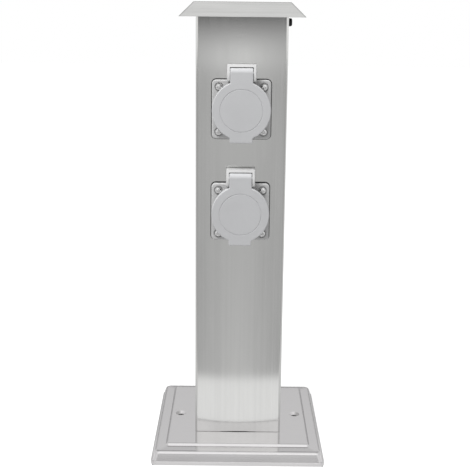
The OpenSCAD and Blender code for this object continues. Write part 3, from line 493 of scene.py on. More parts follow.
def tube(name, path, width, sides):
    """A round wire along a path."""
    aside = Vector((1, 0, 0))
    around = arc(0, 0, width / 2, 0, 360, sides)[:-1]
    rows = []
    for i, point in enumerate(path):
        heading = (path[min(i + 1, len(path) - 1)] - path[max(i - 1, 0)]).normalized()
        across = heading.cross(aside).normalized()
        other = heading.cross(across)
        rows.append([point + across * u + other * v for u, v in around])
    skin = Skin()
    skin.cap(*skin.loft(rows))
    return skin.solid(name)


def combine(body, tool, operation):
    """Joins a tool to a body or cuts it away, and drops the tool."""
    step = body.modifiers.new(operation, "BOOLEAN")
    step.operation = operation
    step.solver = "EXACT"
    step.object = tool
    ready = body.evaluated_get(bpy.context.evaluated_depsgraph_get())
    made = bpy.data.meshes.new_from_object(ready)
    body.modifiers.remove(step)
    old = body.data
    body.data = made
    bpy.data.meshes.remove(old)
    bpy.data.meshes.remove(tool.data)


def weld(data):
    """Joins corners that cuts left side by side, and drops the slivers between them."""
    mesh = bmesh.new()
    mesh.from_mesh(data)
    bmesh.ops.remove_doubles(mesh, verts=mesh.verts, dist=WELD)
    bmesh.ops.dissolve_degenerate(mesh, edges=mesh.edges, dist=WELD)
    mesh.to_mesh(data)
    mesh.free()


def show(obj, body, nodes, slot, matrix=None):
    """Sets a finished solid in its place, in metres, as the piece that stands for its nodes."""
    weld(obj.data)
    if matrix:
        obj.data.transform(matrix)
    obj.data.transform(Matrix.Scale(MM, 4))
    obj.data.polygons.foreach_set("use_smooth", [True] * len(obj.data.polygons))
    obj.data.set_sharp_from_angle(angle=SHARP_FOLD)
    obj.modifiers.new("true_flats", "WEIGHTED_NORMAL").keep_sharp = True
    obj.data.materials.clear()
    obj.data.materials.append(finish(slot))
    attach(obj, body)
    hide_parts(*nodes)


def show_pair(obj, name, body, node, slot):
    """Puts one solid on both sockets."""
    for side in SOCKETS:
        piece = bpy.data.objects.new(side + "_" + name, obj.data.copy())
        bpy.context.scene.collection.objects.link(piece)
        show(piece, body.format(side), [side + "_" + node], slot, socket_matrix(side))
    bpy.data.meshes.remove(obj.data)


# Finishes

# Noise mostly stays within these values
NOISE_LOW = 0.3
NOISE_HIGH = 0.7


def put(tree, kind, values=None, **options):
    """A new node with its options, and its inputs set or linked."""
    node = tree.nodes.new(kind)
    for name, value in options.items():
        setattr(node, name, value)
    for name, value in (values or {}).items():
        if isinstance(value, bpy.types.NodeSocket):
            tree.links.new(value, node.inputs[name])
        else:
            node.inputs[name].default_value = value
    return node


def maths(tree, operation, first, second=0.0, third=0.0):
    """What an operation makes of up to three values."""
    values = {0: first, 1: second, 2: third}
    return put(tree, "ShaderNodeMath", values, operation=operation).outputs[0]


def between(tree, value, low, high, to_low, to_high):
    """Maps a value from one range to another."""
    values = {"Value": value, "From Min": low, "From Max": high, "To Min": to_low, "To Max": to_high}
    return put(tree, "ShaderNodeMapRange", values).outputs[0]


def blend(tree, factor, first, second):
    """Goes from the first value to the second as the factor goes from nothing to one."""
    return put(tree, "ShaderNodeMix", {0: factor, 2: first, 3: second}).outputs[0]


def blend_colours(tree, factor, first, second):
    """Goes from the first colour to the second as the factor goes from nothing to one."""
    values = {0: factor, 6: first, 7: second}
    return put(tree, "ShaderNodeMix", values, data_type="RGBA").outputs[2]


def axes(tree, vector):
    """A vector's three parts."""
    return put(tree, "ShaderNodeSeparateXYZ", {"Vector": vector}).outputs


def facing(tree):
    """The three parts of the direction in which a surface faces."""
    return axes(tree, put(tree, "ShaderNodeNewGeometry").outputs["Normal"])


def blank(name, roughness, metallic=0.0, **sockets):
    """A new material with its surface node and its object coordinates."""
    material = bpy.data.materials.new(name)
    material.use_nodes = True
    tree = material.node_tree
    surface = tree.nodes["Principled BSDF"]
    surface.inputs["Roughness"].default_value = roughness
    surface.inputs["Metallic"].default_value = metallic
    for socket, value in sockets.items():
        surface.inputs[socket].default_value = value
    place = put(tree, "ShaderNodeTexCoord").outputs["Object"]
    return material, tree, surface, place


def grain(tree, place, counts, detail=3.0):
    """Noise with so many changes a metre along each axis."""
    stretched = put(tree, "ShaderNodeMapping", {"Vector": place, "Scale": counts}).outputs[0]
    values = {"Vector": stretched, "Scale": 1.0, "Detail": detail, "Roughness": 0.6}
    return put(tree, "ShaderNodeTexNoise", values).outputs[0]


def speckle(tree, place, count, detail):
    """Noise with as many changes a metre along every axis."""
    return grain(tree, place, (count, count, count), detail)


def tint(tree, surface, amount, tone, spread):
    """Colours a surface, lighter and darker by the spread as the amount goes from low to high."""
    dark = [c * (1 - spread) for c in tone] + [1]
    light = [min(c * (1 + spread), 1) for c in tone] + [1]
    factor = between(tree, amount, NOISE_LOW, NOISE_HIGH, 0, 1)
    tree.links.new(blend_colours(tree, factor, dark, light), surface.inputs["Base Color"])


def roughen(tree, surface, amount, roughness, spread):
    """Lets the roughness wander about its middle value."""
    value = between(tree, amount, NOISE_LOW, NOISE_HIGH, roughness - spread, roughness + spread)
    tree.links.new(value, surface.inputs["Roughness"])


def emboss(tree, surface, height, depth, strength=1.0):
    """Raises the surface by a bump on top of what it has already; the depth is in millimetres."""
    values = {"Height": height, "Strength": strength, "Distance": depth * MM}
    bump = put(tree, "ShaderNodeBump", values)
    for link in surface.inputs["Normal"].links:
        tree.links.new(link.from_socket, bump.inputs["Normal"])
    tree.links.new(bump.outputs[0], surface.inputs["Normal"])


# Changes a metre across the fine and the broad grain and along both, then across and along the clouds
FINE_GRAIN = 2400
BROAD_GRAIN = 420
LONG_GRAIN = 4
CLOUDS = 90
LONG_CLOUDS = 18

# How much of the streaks comes from the fine grain, the broad grain and the clouds
GRAIN_MIX = (0.25, 0.40, 0.35)

# Sheet is never quite flat: how fast a face curves back from its middle line
SHEET_CROWN = 0.55

# Depth of a bump whose height is in metres already
METRE = 1 / MM

# The sheet's waves a metre, across and along, and their depth
SHEET_WAVES = 14
LONG_WAVES = 7
WAVE_DEPTH = 0.12

# How far the sheet stands out in the middle of a face's foot, and the height over which that eases off
FOOT_FLARE = 1.3
FLARE_HEIGHT = 20

# A face that points up by more than this share is a flat
FLAT_FACING = 0.85

# Turn of the shine about the surface, as a share of a full turn
QUARTER_TURN = 0.25


def bow_sheet(tree, surface, place):
    """Bumps that crown the column's faces, let them wave and flare their feet."""
    values = {0: place, 1: (1, 1, 0)}
    from_axis = put(tree, "ShaderNodeVectorMath", values, operation="MULTIPLY").outputs[0]
    values = {0: from_axis, 1: from_axis}
    reach = put(tree, "ShaderNodeVectorMath", values, operation="DOT_PRODUCT").outputs["Value"]
    emboss(tree, surface, maths(tree, "MULTIPLY", reach, -SHEET_CROWN), METRE)
    waves = grain(tree, place, (SHEET_WAVES, SHEET_WAVES, LONG_WAVES), detail=1)
    emboss(tree, surface, waves, WAVE_DEPTH)
    low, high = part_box("column")
    middle = between(tree, reach, high.x ** 2, 2 * high.x ** 2, 1, 0)
    below = maths(tree, "SUBTRACT", low.z, axes(tree, place)["Z"])
    eased = maths(tree, "EXPONENT", maths(tree, "DIVIDE", below, FLARE_HEIGHT * MM))
    emboss(tree, surface, maths(tree, "MULTIPLY", middle, eased), FOOT_FLARE)


def brushed_steel(name, tone, roughness, streak, upright):
    """Sheet with grain up its length, or level along its edges and across its flats."""
    pull = bpy.context.scene.post_finishes.grain_pull
    material, tree, surface, place = blank(name, roughness, metallic=1.0, Anisotropic=pull)
    tangent = put(tree, "ShaderNodeTangent", direction_type="RADIAL", axis="Z").outputs[0]
    if upright:
        fine = grain(tree, place, (FINE_GRAIN, FINE_GRAIN, LONG_GRAIN))
        broad = grain(tree, place, (BROAD_GRAIN, BROAD_GRAIN, LONG_GRAIN / 2), detail=2)
        clouds = grain(tree, place, (CLOUDS, CLOUDS, LONG_CLOUDS), detail=2)
        bow_sheet(tree, surface, place)
    else:
        surface.inputs["Anisotropic Rotation"].default_value = QUARTER_TURN
        flat = maths(tree, "GREATER_THAN", facing(tree)["Z"], FLAT_FACING)
        across = put(tree, "ShaderNodeTangent", direction_type="RADIAL", axis="Y").outputs[0]
        values = {0: flat, 4: tangent, 5: across}
        tangent = put(tree, "ShaderNodeMix", values, data_type="VECTOR").outputs[1]
        sides = grain(tree, place, (LONG_GRAIN, LONG_GRAIN, FINE_GRAIN))
        flats = grain(tree, place, (LONG_GRAIN, FINE_GRAIN, LONG_GRAIN))
        fine = blend(tree, flat, sides, flats)
        broad = grain(tree, place, (LONG_GRAIN, BROAD_GRAIN, BROAD_GRAIN), detail=2)
        clouds = grain(tree, place, (LONG_CLOUDS, CLOUDS, CLOUDS), detail=2)
    tree.links.new(tangent, surface.inputs["Tangent"])
    streaks = 0.0
    for layer, weight in zip((fine, broad, clouds), GRAIN_MIX):
        streaks = maths(tree, "MULTIPLY_ADD", layer, weight, streaks)
    tint(tree, surface, streaks, tone, streak)
    roughen(tree, surface, streaks, roughness, spread=0.03)
    emboss(tree, surface, fine, depth=0.01, strength=0.05)
    return material


def moulded_plastic(name, tone, roughness):
    """Plastic from a spark-textured mould: fine pebbling and faint flow marks."""
    material, tree, surface, place = blank(name, roughness, IOR=1.49)
    flow = speckle(tree, place, count=45, detail=4)
    pebbles = speckle(tree, place, count=2200, detail=2)
    tint(tree, surface, flow, tone, spread=0.025)
    roughen(tree, surface, pebbles, roughness, spread=0.07)
    emboss(tree, surface, pebbles, depth=0.03, strength=0.18)
    return material


def soft_rubber(name, tone, roughness):
    """Dull rubber with a dusty bloom."""
    material, tree, surface, place = blank(name, roughness)
    bloom = speckle(tree, place, count=160, detail=5)
    pores = speckle(tree, place, count=3000, detail=2)
    tint(tree, surface, bloom, tone, spread=0.35)
    roughen(tree, surface, bloom, roughness, spread=0.08)
    emboss(tree, surface, pores, depth=0.04, strength=0.25)
    return material


def turned_metal(name, tone, roughness, mottle):
    """Small turned or plated metal parts: bright, a little cloudy, with fine tool marks."""
    material, tree, surface, place = blank(name, roughness, metallic=1.0)
    clouds = speckle(tree, place, count=220, detail=4)
    marks = speckle(tree, place, count=2600, detail=3)
    tint(tree, surface, clouds, tone, mottle)
    roughen(tree, surface, clouds, roughness, spread=0.07)
    emboss(tree, surface, marks, depth=0.01, strength=0.10)
    return material


def black_oxide(name, tone, roughness):
    """Oiled black oxide on steel."""
    material, tree, surface, place = blank(name, roughness, metallic=0.6)
    clouds = speckle(tree, place, count=400, detail=4)
    tint(tree, surface, clouds, tone, spread=0.3)
    roughen(tree, surface, clouds, roughness, spread=0.08)
    emboss(tree, surface, clouds, depth=0.02, strength=0.12)
    return material


# A wire's stripe lies where its skin faces sideways by more than these shares, eased between them
STRIPE_START = 0.55
STRIPE_FULL = 0.65


def wire_sleeve(name, tone, roughness, stripe=None):
    """Glossy insulation, with a second colour along it if one is given."""
    material, tree, surface, place = blank(name, roughness)
    drawn = grain(tree, place, counts=(900, 900, 30), detail=2)
    tint(tree, surface, drawn, tone, spread=0.06)
    roughen(tree, surface, drawn, roughness, spread=0.06)
    emboss(tree, surface, drawn, depth=0.02, strength=0.1)
    if stripe:
        side = maths(tree, "ABSOLUTE", facing(tree)["X"])
        marked = between(tree, side, STRIPE_START, STRIPE_FULL, 0, 1)
        plain = surface.inputs["Base Color"].links[0].from_socket
        striped = blend_colours(tree, marked, plain, (*stripe, 1))
        tree.links.new(striped, surface.inputs["Base Color"])
    return material


def make_finish(slot, name):
    """A new material for one of the record's slots, from its maker, colour, roughness and the rest."""
    tones = settings(bpy.context.scene.post_finishes)
    recipes = {
        "column_steel": (brushed_steel, tones.column_steel, tones.column_roughness, tones.streaks, True),
        "base_steel": (brushed_steel, tones.base_steel, tones.base_roughness, tones.streaks, False),
        "cap_steel": (brushed_steel, tones.cap_steel, tones.cap_roughness, tones.cap_streaks, False),
        "collar_steel": (brushed_steel, tones.column_steel, tones.cap_roughness, tones.streaks, True),
        "black_screw": (black_oxide, tones.black_oxide, 0.38),
        "housing_plastic": (moulded_plastic, tones.housing, 0.36),
        "lid_plastic": (moulded_plastic, tones.lid, 0.50),
        "carrier_plastic": (moulded_plastic, tones.carrier, 0.55),
        "block_plastic": (moulded_plastic, tones.block, 0.42),
        "gasket_rubber": (soft_rubber, tones.rubber, 0.75),
        "seal_rubber": (soft_rubber, tones.rubber, 0.65),
        "grommet_rubber": (soft_rubber, tones.rubber, 0.55),
        "contact_brass": (turned_metal, tones.brass, 0.26, 0.10),
        "clip_brass": (turned_metal, tones.tinned, 0.34, 0.12),
        "flange_screw_steel": (turned_metal, tones.stainless, 0.12, 0.05),
        "pin_steel": (turned_metal, tones.stainless, 0.24, 0.05),
        "spring_steel": (turned_metal, tones.stainless, 0.30, 0.10),
        "zinc_plate": (turned_metal, tones.zinc, 0.38, 0.16),
        "zinc_bolts": (turned_metal, tones.zinc, 0.33, 0.12),
        "zinc_nuts": (turned_metal, tones.zinc, 0.36, 0.14),
        "zinc_screws": (turned_metal, tones.zinc, 0.30, 0.12),
        "brown_pvc": (wire_sleeve, tones.brown, 0.32),
        "blue_pvc": (wire_sleeve, tones.blue, 0.32),
        "green_pvc": (wire_sleeve, tones.green, 0.32, tones.yellow),
    }
    maker, *values = recipes[slot]
    return maker(name, *values)


def finish(slot):
    """The material for one of the record's slots, made at its first use."""
    name = slot + "_finish"
    return bpy.data.materials.get(name) or make_finish(slot, name)


# Pieces

def base_rows(size, low, high):
    """The pressed sheet's outline, from the plate's top round the lip to its underside."""
    half = high.x
    plate = size.plate_width / 2
    ledge = high.z - size.plate_step
    tilt = math.radians(size.step_lean)
    bends = size.plate_edge + size.plate_root
    wall = (size.plate_step - bends * (1 - math.sin(tilt))) / math.cos(tilt)
    flat = plate - bends * math.cos(tilt) - wall * math.sin(tilt)
    lean = math.radians(size.skirt_lean)
    bend_z = ledge - size.ledge_fall - size.shoulder
    skirt_z = bend_z + size.shoulder * math.sin(lean)
    run = size.shoulder * math.cos(lean) + (skirt_z - size.lip_height) * math.tan(lean)
    bend_x = half - size.lip_step - run
    inner_bend = size.shoulder - size.sheet
    inner_z = bend_z + inner_bend * math.sin(lean)
    inner_lip = size.lip_height - size.sheet
    inner_foot = bend_x + inner_bend * math.cos(lean) + (inner_z - inner_lip) * math.tan(lean)
    outer = arc(flat, high.z - size.plate_edge, size.plate_edge, 90, size.step_lean)
    outer += arc(plate, ledge + size.plate_root, size.plate_root, 180 + size.step_lean, 270)
    outer += arc(bend_x, bend_z, size.shoulder, 90, size.skirt_lean)
    outer += [(half - size.lip_step, size.lip_height)]
    outer += rounded(half, size.lip_height, size.lip_edge, 90, 0)
    outer += rounded(half, low.z, size.lip_edge, 0, -90)
    inner = [(half - size.sheet, low.z), (half - size.sheet, inner_lip), (inner_foot, inner_lip)]
    inner += arc(bend_x, bend_z, inner_bend, size.skirt_lean, 90)
    inner += arc(plate, ledge + size.plate_root, size.plate_root + size.sheet, 270, 180 + size.step_lean)
    inner += arc(flat, high.z - size.plate_edge, size.plate_edge - size.sheet, size.step_lean, 90)
    return outer + inner


def base_corner(size, half, x):
    """Corner radius of the base's rings, wider at the lip."""
    plate = size.plate_width / 2
    if x < plate:
        return size.plate_corner - (plate - x)
    reach = (x - plate) / (half - plate)
    return size.plate_corner + (size.lip_corner - size.plate_corner) * min(reach, 1)


def make_base(size):
    """Pressed base: raised plate, ledge, shoulder, leaning skirt and lip, with its holes."""
    low, high = span("base_plate")
    under = high.z - size.sheet
    outlines = [square(x, base_corner(size, high.x, x), z) for x, z in base_rows(size, low, high)]
    hole = size.fixing_hole / 2
    dimple = size.dimple_width / 2
    floor = high.z - size.dimple_depth
    soft = size.dimple_edge
    dimple_rows = [
        (dimple + soft, high.z), (dimple, high.z - soft), (hole, floor), (hole, floor - size.hole_edge),
        (hole + size.sheet, floor - size.sheet), (dimple + size.sheet / 2, under),
    ]
    holes = []
    for side in (-1, 1):
        x = side * size.fixing_pitch / 2
        holes.append([circle(radius, z, x) for radius, z in dimple_rows])
        for y in (-size.bolt_y, size.bolt_y):
            x = side * size.bolt_x
            holes.append([circle(size.bolt_hole / 2, z, x, y) for z in (high.z, under)])
    holes.append([circle(size.cable_hole / 2, z) for z in (high.z, under)])
    skin = Skin()
    skin.pierced(outlines, holes)
    show(skin.solid("base_shell"), "post", ["base_plate"], "base_steel")


def make_grommet(size):
    """Rubber grommet with rounded lips in the base's cable hole."""
    low, high = span("cable_grommet")
    top = span("base_plate")[1].z
    under = top - size.sheet
    bore = size.grommet_bore / 2
    lip = size.cable_hole / 2 + size.grommet_lip
    neck = size.cable_hole / 2 - size.grommet_gap
    edge = size.grommet_edge
    rows = rounded(lip, high.z, edge, 90, 0)
    rows += [(lip, top), (neck, top), (neck, under), (lip, under)]
    rows += rounded(lip, low.z, edge, 0, -90) + rounded(bore, low.z, edge, -90, -180)
    rows += rounded(bore, high.z, edge, 180, 90)
    show(lathe("rubber_grommet", rows), "post", ["cable_grommet"], "grommet_rubber")


def screw_places(size):
    """Where a socket's four screws stand about its middle."""
    at = size.screw_pitch / 2
    return [(x, y) for x in (-at, at) for y in (-at, at)]


def drain_tool(size, foot, half):
    """What is cut from the column's foot to let water out: a low arch, right through."""
    reach = size.drain_width / 2
    rise = size.drain_height
    bow = bow_radius(reach, rise)
    spread = math.degrees(math.asin(reach / bow))
    top = arc(0, foot + rise - bow, bow, 90 - spread, 90 + spread, CORNER_STEPS)
    outline = [(reach, foot - rise)] + top + [(-reach, foot - rise)]
    skin = Skin()
    skin.cap(*skin.loft([[(x, y, z) for x, z in outline] for y in (-2 * half, 2 * half)]))
    return skin.solid("drain")


def make_column(size, socket):
    """Square tube with rounded corners, cut out for the sockets, the cap's screw and a drain."""
    low, high = span("column")
    half = high.x
    inside = half - size.sheet
    rows = rounded(half, low.z, size.sawn_edge, -90, 0)
    rows += [(half, high.z), (inside, high.z), (inside, low.z)]
    skin = Skin()
    skin.loft([square(x, size.corner - (half - x), z) for x, z in rows], closed=True)
    column = skin.solid("steel_column")
    through = 2 * size.sheet
    cuts = [(socket.cutout / 2, 0, 0)]
    cuts += [(socket.screw_hole / 2, x, y) for x, y in screw_places(socket)]
    for side in SOCKETS:
        for radius, x, y in cuts:
            punch = disc("punch", [(radius, -through), (radius, through)])
            punch.data.transform(socket_matrix(side) @ Matrix.Translation((x, y, 0)))
            combine(column, punch, "DIFFERENCE")
    screw_low, screw_high = span("cap_screw")
    level = (screw_low.z + screw_high.z) / 2
    hole = size.cap_hole / 2
    rows = [(hole, half - through), (hole, half + through)]
    combine(column, spindle("punch", rows, 0, level), "DIFFERENCE")
    combine(column, drain_tool(size, low.z, half), "DIFFERENCE")
    show(column, "post", ["column"], "column_steel")


def make_cap(size):
    """Roof folded from one sheet: four slopes, rounded folds and a flat top."""
    low, high = span("cap")
    half = high.x
    top = span("column")[1].x + size.top_edge
    slope = math.atan2(high.z - low.z, half - top)
    flat_turn = 90 - math.degrees(slope)
    slant = size.sheet / math.sin(slope)
    soft = size.eave_edge
    bend_x = top - size.fold * math.tan(slope / 2)
    bend_z = high.z - size.fold
    outer = arc(bend_x, bend_z, size.fold, 90, flat_turn)
    outer += [(half - soft, low.z + soft * math.tan(slope)), (half - 2 * soft, low.z)]
    inner = [(half - slant, low.z)] + arc(bend_x, bend_z, size.fold - size.sheet, flat_turn, 90)
    skin = Skin()
    skin.pierced([square(x, size.hip, z) for x, z in outer + inner], [])
    show(skin.solid("roof_cap"), "post", ["cap"], "cap_steel")


# How far round the first of a socket's screws stopped, and each one after it
FIRST_TURN = math.radians(25)
NEXT_TURN = math.radians(55)


def screw_holes(size, rows):
    """The four screw holes of a flange or gasket, from rows of diameter and height."""
    return [[circle(width / 2, z, x, y) for width, z in rows] for x, y in screw_places(size)]


def make_screws(size):
    """Screws with domed heads and cross recesses, each stopped at its own turn."""
    tip, top = depths("upper_flange_screws")
    seat = size.gasket + size.flange
    rise = top - (seat + size.head_rim)
    shank = size.screw_shank / 2
    head = size.screw_head / 2
    dome = bow_radius(head, rise)
    edge = math.degrees(math.asin((dome - rise) / dome))
    rows = [(shank / 2, tip), (shank, tip + shank / 2), (shank, seat), (head, seat)]
    rows += arc(0, top - dome, dome, edge, 90, CORNER_STEPS)[:-1]
    screw = disc("screw", rows)
    long = size.cross_length / 2
    wide = size.cross_width / 2
    deep = (top - size.cross_depth, top)
    for x, y in ((long, wide), (wide, long)):
        combine(screw, cuboid("cross", (-x, x), (-y, y), deep), "DIFFERENCE")
    four = bmesh.new()
    for i, (x, y) in enumerate(screw_places(size)):
        copy = screw.data.copy()
        stopped = Matrix.Rotation(FIRST_TURN + i * NEXT_TURN, 4, "Z")
        copy.transform(Matrix.Translation((x, y, 0)) @ stopped)
        four.from_mesh(copy)
        bpy.data.meshes.remove(copy)
    four.to_mesh(screw.data)
    four.free()
    show_pair(screw, "domed_screws", "post", "flange_screws", "flange_screw_steel")


def make_gaskets(size):
    """Foam gaskets behind the flanges, squeezed to a soft edge."""
    half = span("upper_gasket")[1].x - size.gasket_draw
    edge = size.gasket_edge
    rows = rounded(half, size.gasket, edge, 90, 0) + rounded(half, 0, edge, 0, -90)
    outlines = [square(x, size.gasket_corner - (half - x), z) for x, z in rows]
    faces = (size.gasket, 0)
    centre_hole = [circle(size.cutout / 2, z) for z in faces]
    skin = Skin()
    skin.pierced(outlines, [centre_hole] + screw_holes(size, [(size.screw_hole, z) for z in faces]))
    show_pair(skin.solid("gasket"), "soft_gasket", "post", "gasket", "gasket_rubber")


def make_seals(size):
    """Soft rings in the lids that shut on the rims."""
    back = depths("upper_lid_seal")[0]
    front = back + size.seal
    edge = size.seal_edge
    outside = size.well / 2 + size.rim_wall + size.seal_outside
    inside = size.well / 2 - size.seal_inside
    rows = [(inside, front), (outside, front)]
    rows += rounded(outside, back, edge, 0, -90) + rounded(inside, back, edge, -90, -180)
    show_pair(lathe("seal", rows), "soft_seal", "{}_flap", "lid_seal", "seal_rubber")


def make_hood(size, flange_front, top):
    """Hood over the hinge: two ears for the pin, a back wall and a top bar."""
    rise, forward = hinge_place()
    foot = size.well / 2 + size.rim_wall - size.hood_sink
    root = flange_front + size.hood_root
    low = rise - size.ear_drop
    ear_front = forward + size.ear
    outline = [(size.gasket, foot), (root, foot), (root, low)]
    outline += rounded(ear_front, low, size.ear_corner, -90, 0)
    outline += [(ear_front, rise + size.ear_rise), (forward - size.hood_setback, top), (size.gasket, top)]
    half = size.hood_width / 2
    hood = slab("hood", outline, -half, half, size.hood_edge)
    slot = size.hood_slot / 2
    room = (size.gasket + size.hood_back, 2 * forward)
    combine(hood, cuboid("slot", (-slot, slot), (0, top - size.hood_bar), room), "DIFFERENCE")
    bore = size.pin / 2 + size.pin_hold
    rows = [(bore, -size.hood_width), (bore, size.hood_width)]
    combine(hood, spindle("bore", rows, rise, forward), "DIFFERENCE")
    return hood


def make_bodies(size):
    """Moulded sockets: flange, rim, barrel, guide ribs and hinge hood in one piece."""
    high = span("upper_housing")[1]
    half = high.x
    end = depths("upper_housing")[0]
    front = size.gasket + size.flange
    soft = size.flange_back
    rows = rounded(half, front, size.flange_edge, 90, 0)
    rows += [(half, size.gasket + soft), (half - soft, size.gasket)]
    outlines = [square(x, size.flange_corner - (half - x), z) for x, z in rows]
    well = size.well / 2
    rim = well + size.rim_wall
    barrel = well + size.barrel_wall
    top = front + size.rim_height
    tunnel = rounded(rim, front, size.rim_root, 270, 180) + rounded(rim, top, size.rim_edge, 0, 90)
    tunnel += rounded(well, top, size.rim_edge, 90, 180)
    tunnel += [(well, end), (barrel, end), (barrel, size.gasket)]
    moat = front - size.moat_depth
    seat_rows = [
        (size.screw_moat, front), (size.screw_moat, moat), (size.screw_land, moat),
        (size.screw_land, front), (size.screw_hole, front), (size.screw_hole, size.gasket),
    ]
    skin = Skin()
    skin.pierced(outlines, [[circle(r, z) for r, z in tunnel]] + screw_holes(size, seat_rows))
    body = skin.solid("socket")
    combine(body, make_hood(size, front, high.z - socket_centre("upper").z), "UNION")
    floor = top - size.well_depth
    ahead = (floor, floor + size.guide_length)
    half_rib = size.guide_width / 2
    for side in (-1, 1):
        across = sorted((side * (well - size.guide_height), side * (well + size.barrel_wall / 2)))
        combine(body, cuboid("rib", across, (-half_rib, half_rib), ahead, size.guide_edge), "UNION")
    show_pair(body, "socket_body", "post", "housing", "housing_plastic")


def lid_outline(size, radius, bottom, top, inset):
    """Front view of the lid: a round face with the tongue above and the thumb tab below."""
    tab = size.tab_width / 2
    tongue = size.tongue_width / 2
    tab_y = math.sqrt((radius + size.tab_root) ** 2 - (tab + size.tab_root) ** 2)
    tongue_y = math.sqrt((radius + size.tongue_root) ** 2 - (tongue + size.tongue_root) ** 2)
    tab_turn = math.degrees(math.atan2(tab_y, tab + size.tab_root))
    tongue_turn = math.degrees(math.atan2(tongue_y, tongue + size.tongue_root))
    corner = size.tab_corner
    right = arc(tab - corner, bottom + corner, corner - inset, -90, 0)
    right += arc(tab + size.tab_root, -tab_y, size.tab_root + inset, 180, 180 - tab_turn)
    right += arc(0, 0, radius - inset, -tab_turn, tongue_turn, ROUND_STEPS // 2)[1:-1]
    right += arc(tongue + size.tongue_root, tongue_y, size.tongue_root + inset, 180 + tongue_turn, 180)
    right += [(tongue - inset, top - inset)]
    return right + [(-x, y) for x, y in reversed(right)]


def lid_plate(size, radius, bottom, front):
    """The lid's plate with its tongue and its tab, rounded at the front and the back."""
    edge = size.lid_edge
    top = hinge_place()[0] + edge
    soft = size.skirt_edge
    back = front - size.tongue
    rows = [(edge - x, z) for x, z in arc(0, front - edge, edge, 90, 0)]
    rows += [(soft - x, z) for x, z in arc(0, back + soft, soft, 0, -90)]
    outlines = []
    for inset, z in rows:
        outline = lid_outline(size, radius, bottom, top, inset)
        outlines.append([(x, y, z) for x, y in outline])
    skin = Skin()
    skin.cap(*skin.loft(outlines))
    return skin.solid("lid")


def lid_knuckle(size):
    """The lid's hinge knuckle, with rounded ends."""
    knuckle = size.knuckle / 2
    half = size.tongue_width / 2
    edge = size.lid_edge
    right = [(r + knuckle - edge, x + half - edge) for x, r in arc(0, 0, edge, 0, 90)]
    return spindle("knuckle", [(r, -x) for r, x in right] + right[::-1], *hinge_place())


def hinge_tools(size):
    """What is cut from the knuckle: the pin's bore with the spring's room, and room for its leg."""
    rise, forward = hinge_place()
    bore = size.pin / 2 + size.pin_play
    room = size.spring_room / 2
    room_x = size.spring_room_width / 2
    right = [(room, room_x), (bore, room_x), (bore, size.tongue_width / 2 + PAST)]
    rows = [(r, -x) for r, x in right[::-1]] + right
    clear = size.knuckle
    up = (rise - clear, rise + clear)
    ahead = (forward - clear, forward - size.spring_wire / 2)
    return [
        spindle("bore", rows, rise, forward),
        cuboid("leg_room", (-room_x, room_x), up, ahead),
    ]


def make_lids(size):
    """Lids: round face with a pressed ring, skirt, tongue, hinge knuckle and thumb tab."""
    low, high = span("upper_lid")
    front = depths("upper_lid")[1]
    radius = high.x
    back = front - size.lid_depth
    under = front - size.lid_face
    lid = lid_plate(size, radius, low.z - socket_centre("upper").z, front)
    skirt = radius - size.skirt_inset
    rows = rounded(skirt, back, size.skirt_edge, -90, 0) + [(skirt, under)]
    combine(lid, disc("skirt", rows), "UNION")
    combine(lid, lid_knuckle(size), "UNION")
    inside = radius - size.lid_wall
    combine(lid, disc("hollow", [(inside, back - PAST), (inside, under)]), "DIFFERENCE")
    for tool in hinge_tools(size):
        combine(lid, tool, "DIFFERENCE")
    ring = size.ring / 2
    ring_end = ring + size.ring_width
    deep = front - size.ring_depth
    slope = size.ring_slope
    rows = [
        (ring, front + PAST), (ring, front), (ring + slope, deep),
        (ring_end - slope, deep), (ring_end, front), (ring_end, front + PAST),
    ]
    combine(lid, lathe("ring", rows), "DIFFERENCE")
    show_pair(lid, "flap_lid", "{}_flap", "lid", "lid_plastic")


# Curls of a closing spring, steps on each curl and sides of its wire
SPRING_CURLS = 6
CURL_STEPS = 24
WIRE_SIDES = 12

# How far the spring's leg bows back half way down and at its foot, how far its bend stands above
# the foot, and the gap between the foot's end and the flange
LEG_BOW = 0.8
FOOT_BOW = 2
FOOT_BEND = 0.3
FOOT_GAP = 0.06


def curve_through(points):
    """A smooth run through points, without the first of them."""
    last = len(points) - 1
    run = []
    for i in range(last):
        before, here, there, after = (points[min(max(i + k, 0), last)] for k in (-1, 0, 1, 2))
        first = there - before
        second = before * 2 - here * 5 + there * 4 - after
        third = here * 3 - before - there * 3 + after
        for step in range(1, EDGE_STEPS + 1):
            t = step / EDGE_STEPS
            run.append((here * 2 + first * t + second * t ** 2 + third * t ** 3) / 2)
    return run


def spring_path(size):
    """Curls around the pin, then a leg down to the flange."""
    rise, forward = hinge_place()
    r = size.spring_width / 2
    x = SPRING_CURLS * size.spring_pitch / 2
    back = forward - r
    steps = SPRING_CURLS * CURL_STEPS
    path = [Vector((-x, rise + size.spring_wire, back))]
    for i in range(steps + 1):
        a = math.radians(180 + 360 * i / CURL_STEPS)
        path.append(Vector((x * (2 * i / steps - 1), rise + r * math.sin(a), forward + r * math.cos(a))))
    knee = rise - size.knuckle / 2
    foot = size.spring_leg
    flange_front = size.gasket + size.flange
    places = [
        (knee, back), ((knee + foot) / 2, back - LEG_BOW), (foot + FOOT_BEND, back - FOOT_BOW),
        (foot, flange_front + 2 * size.spring_wire), (foot, flange_front + FOOT_GAP),
    ]
    return path + curve_through([path[-1]] + [Vector((x, y, z)) for y, z in places])


def make_springs(size):
    """Closing springs, wound from one round wire."""
    wire = tube("spring", spring_path(size), size.spring_wire, WIRE_SIDES)
    show_pair(wire, "closing_spring", "post", "hinge_spring", "spring_steel")


# Stage

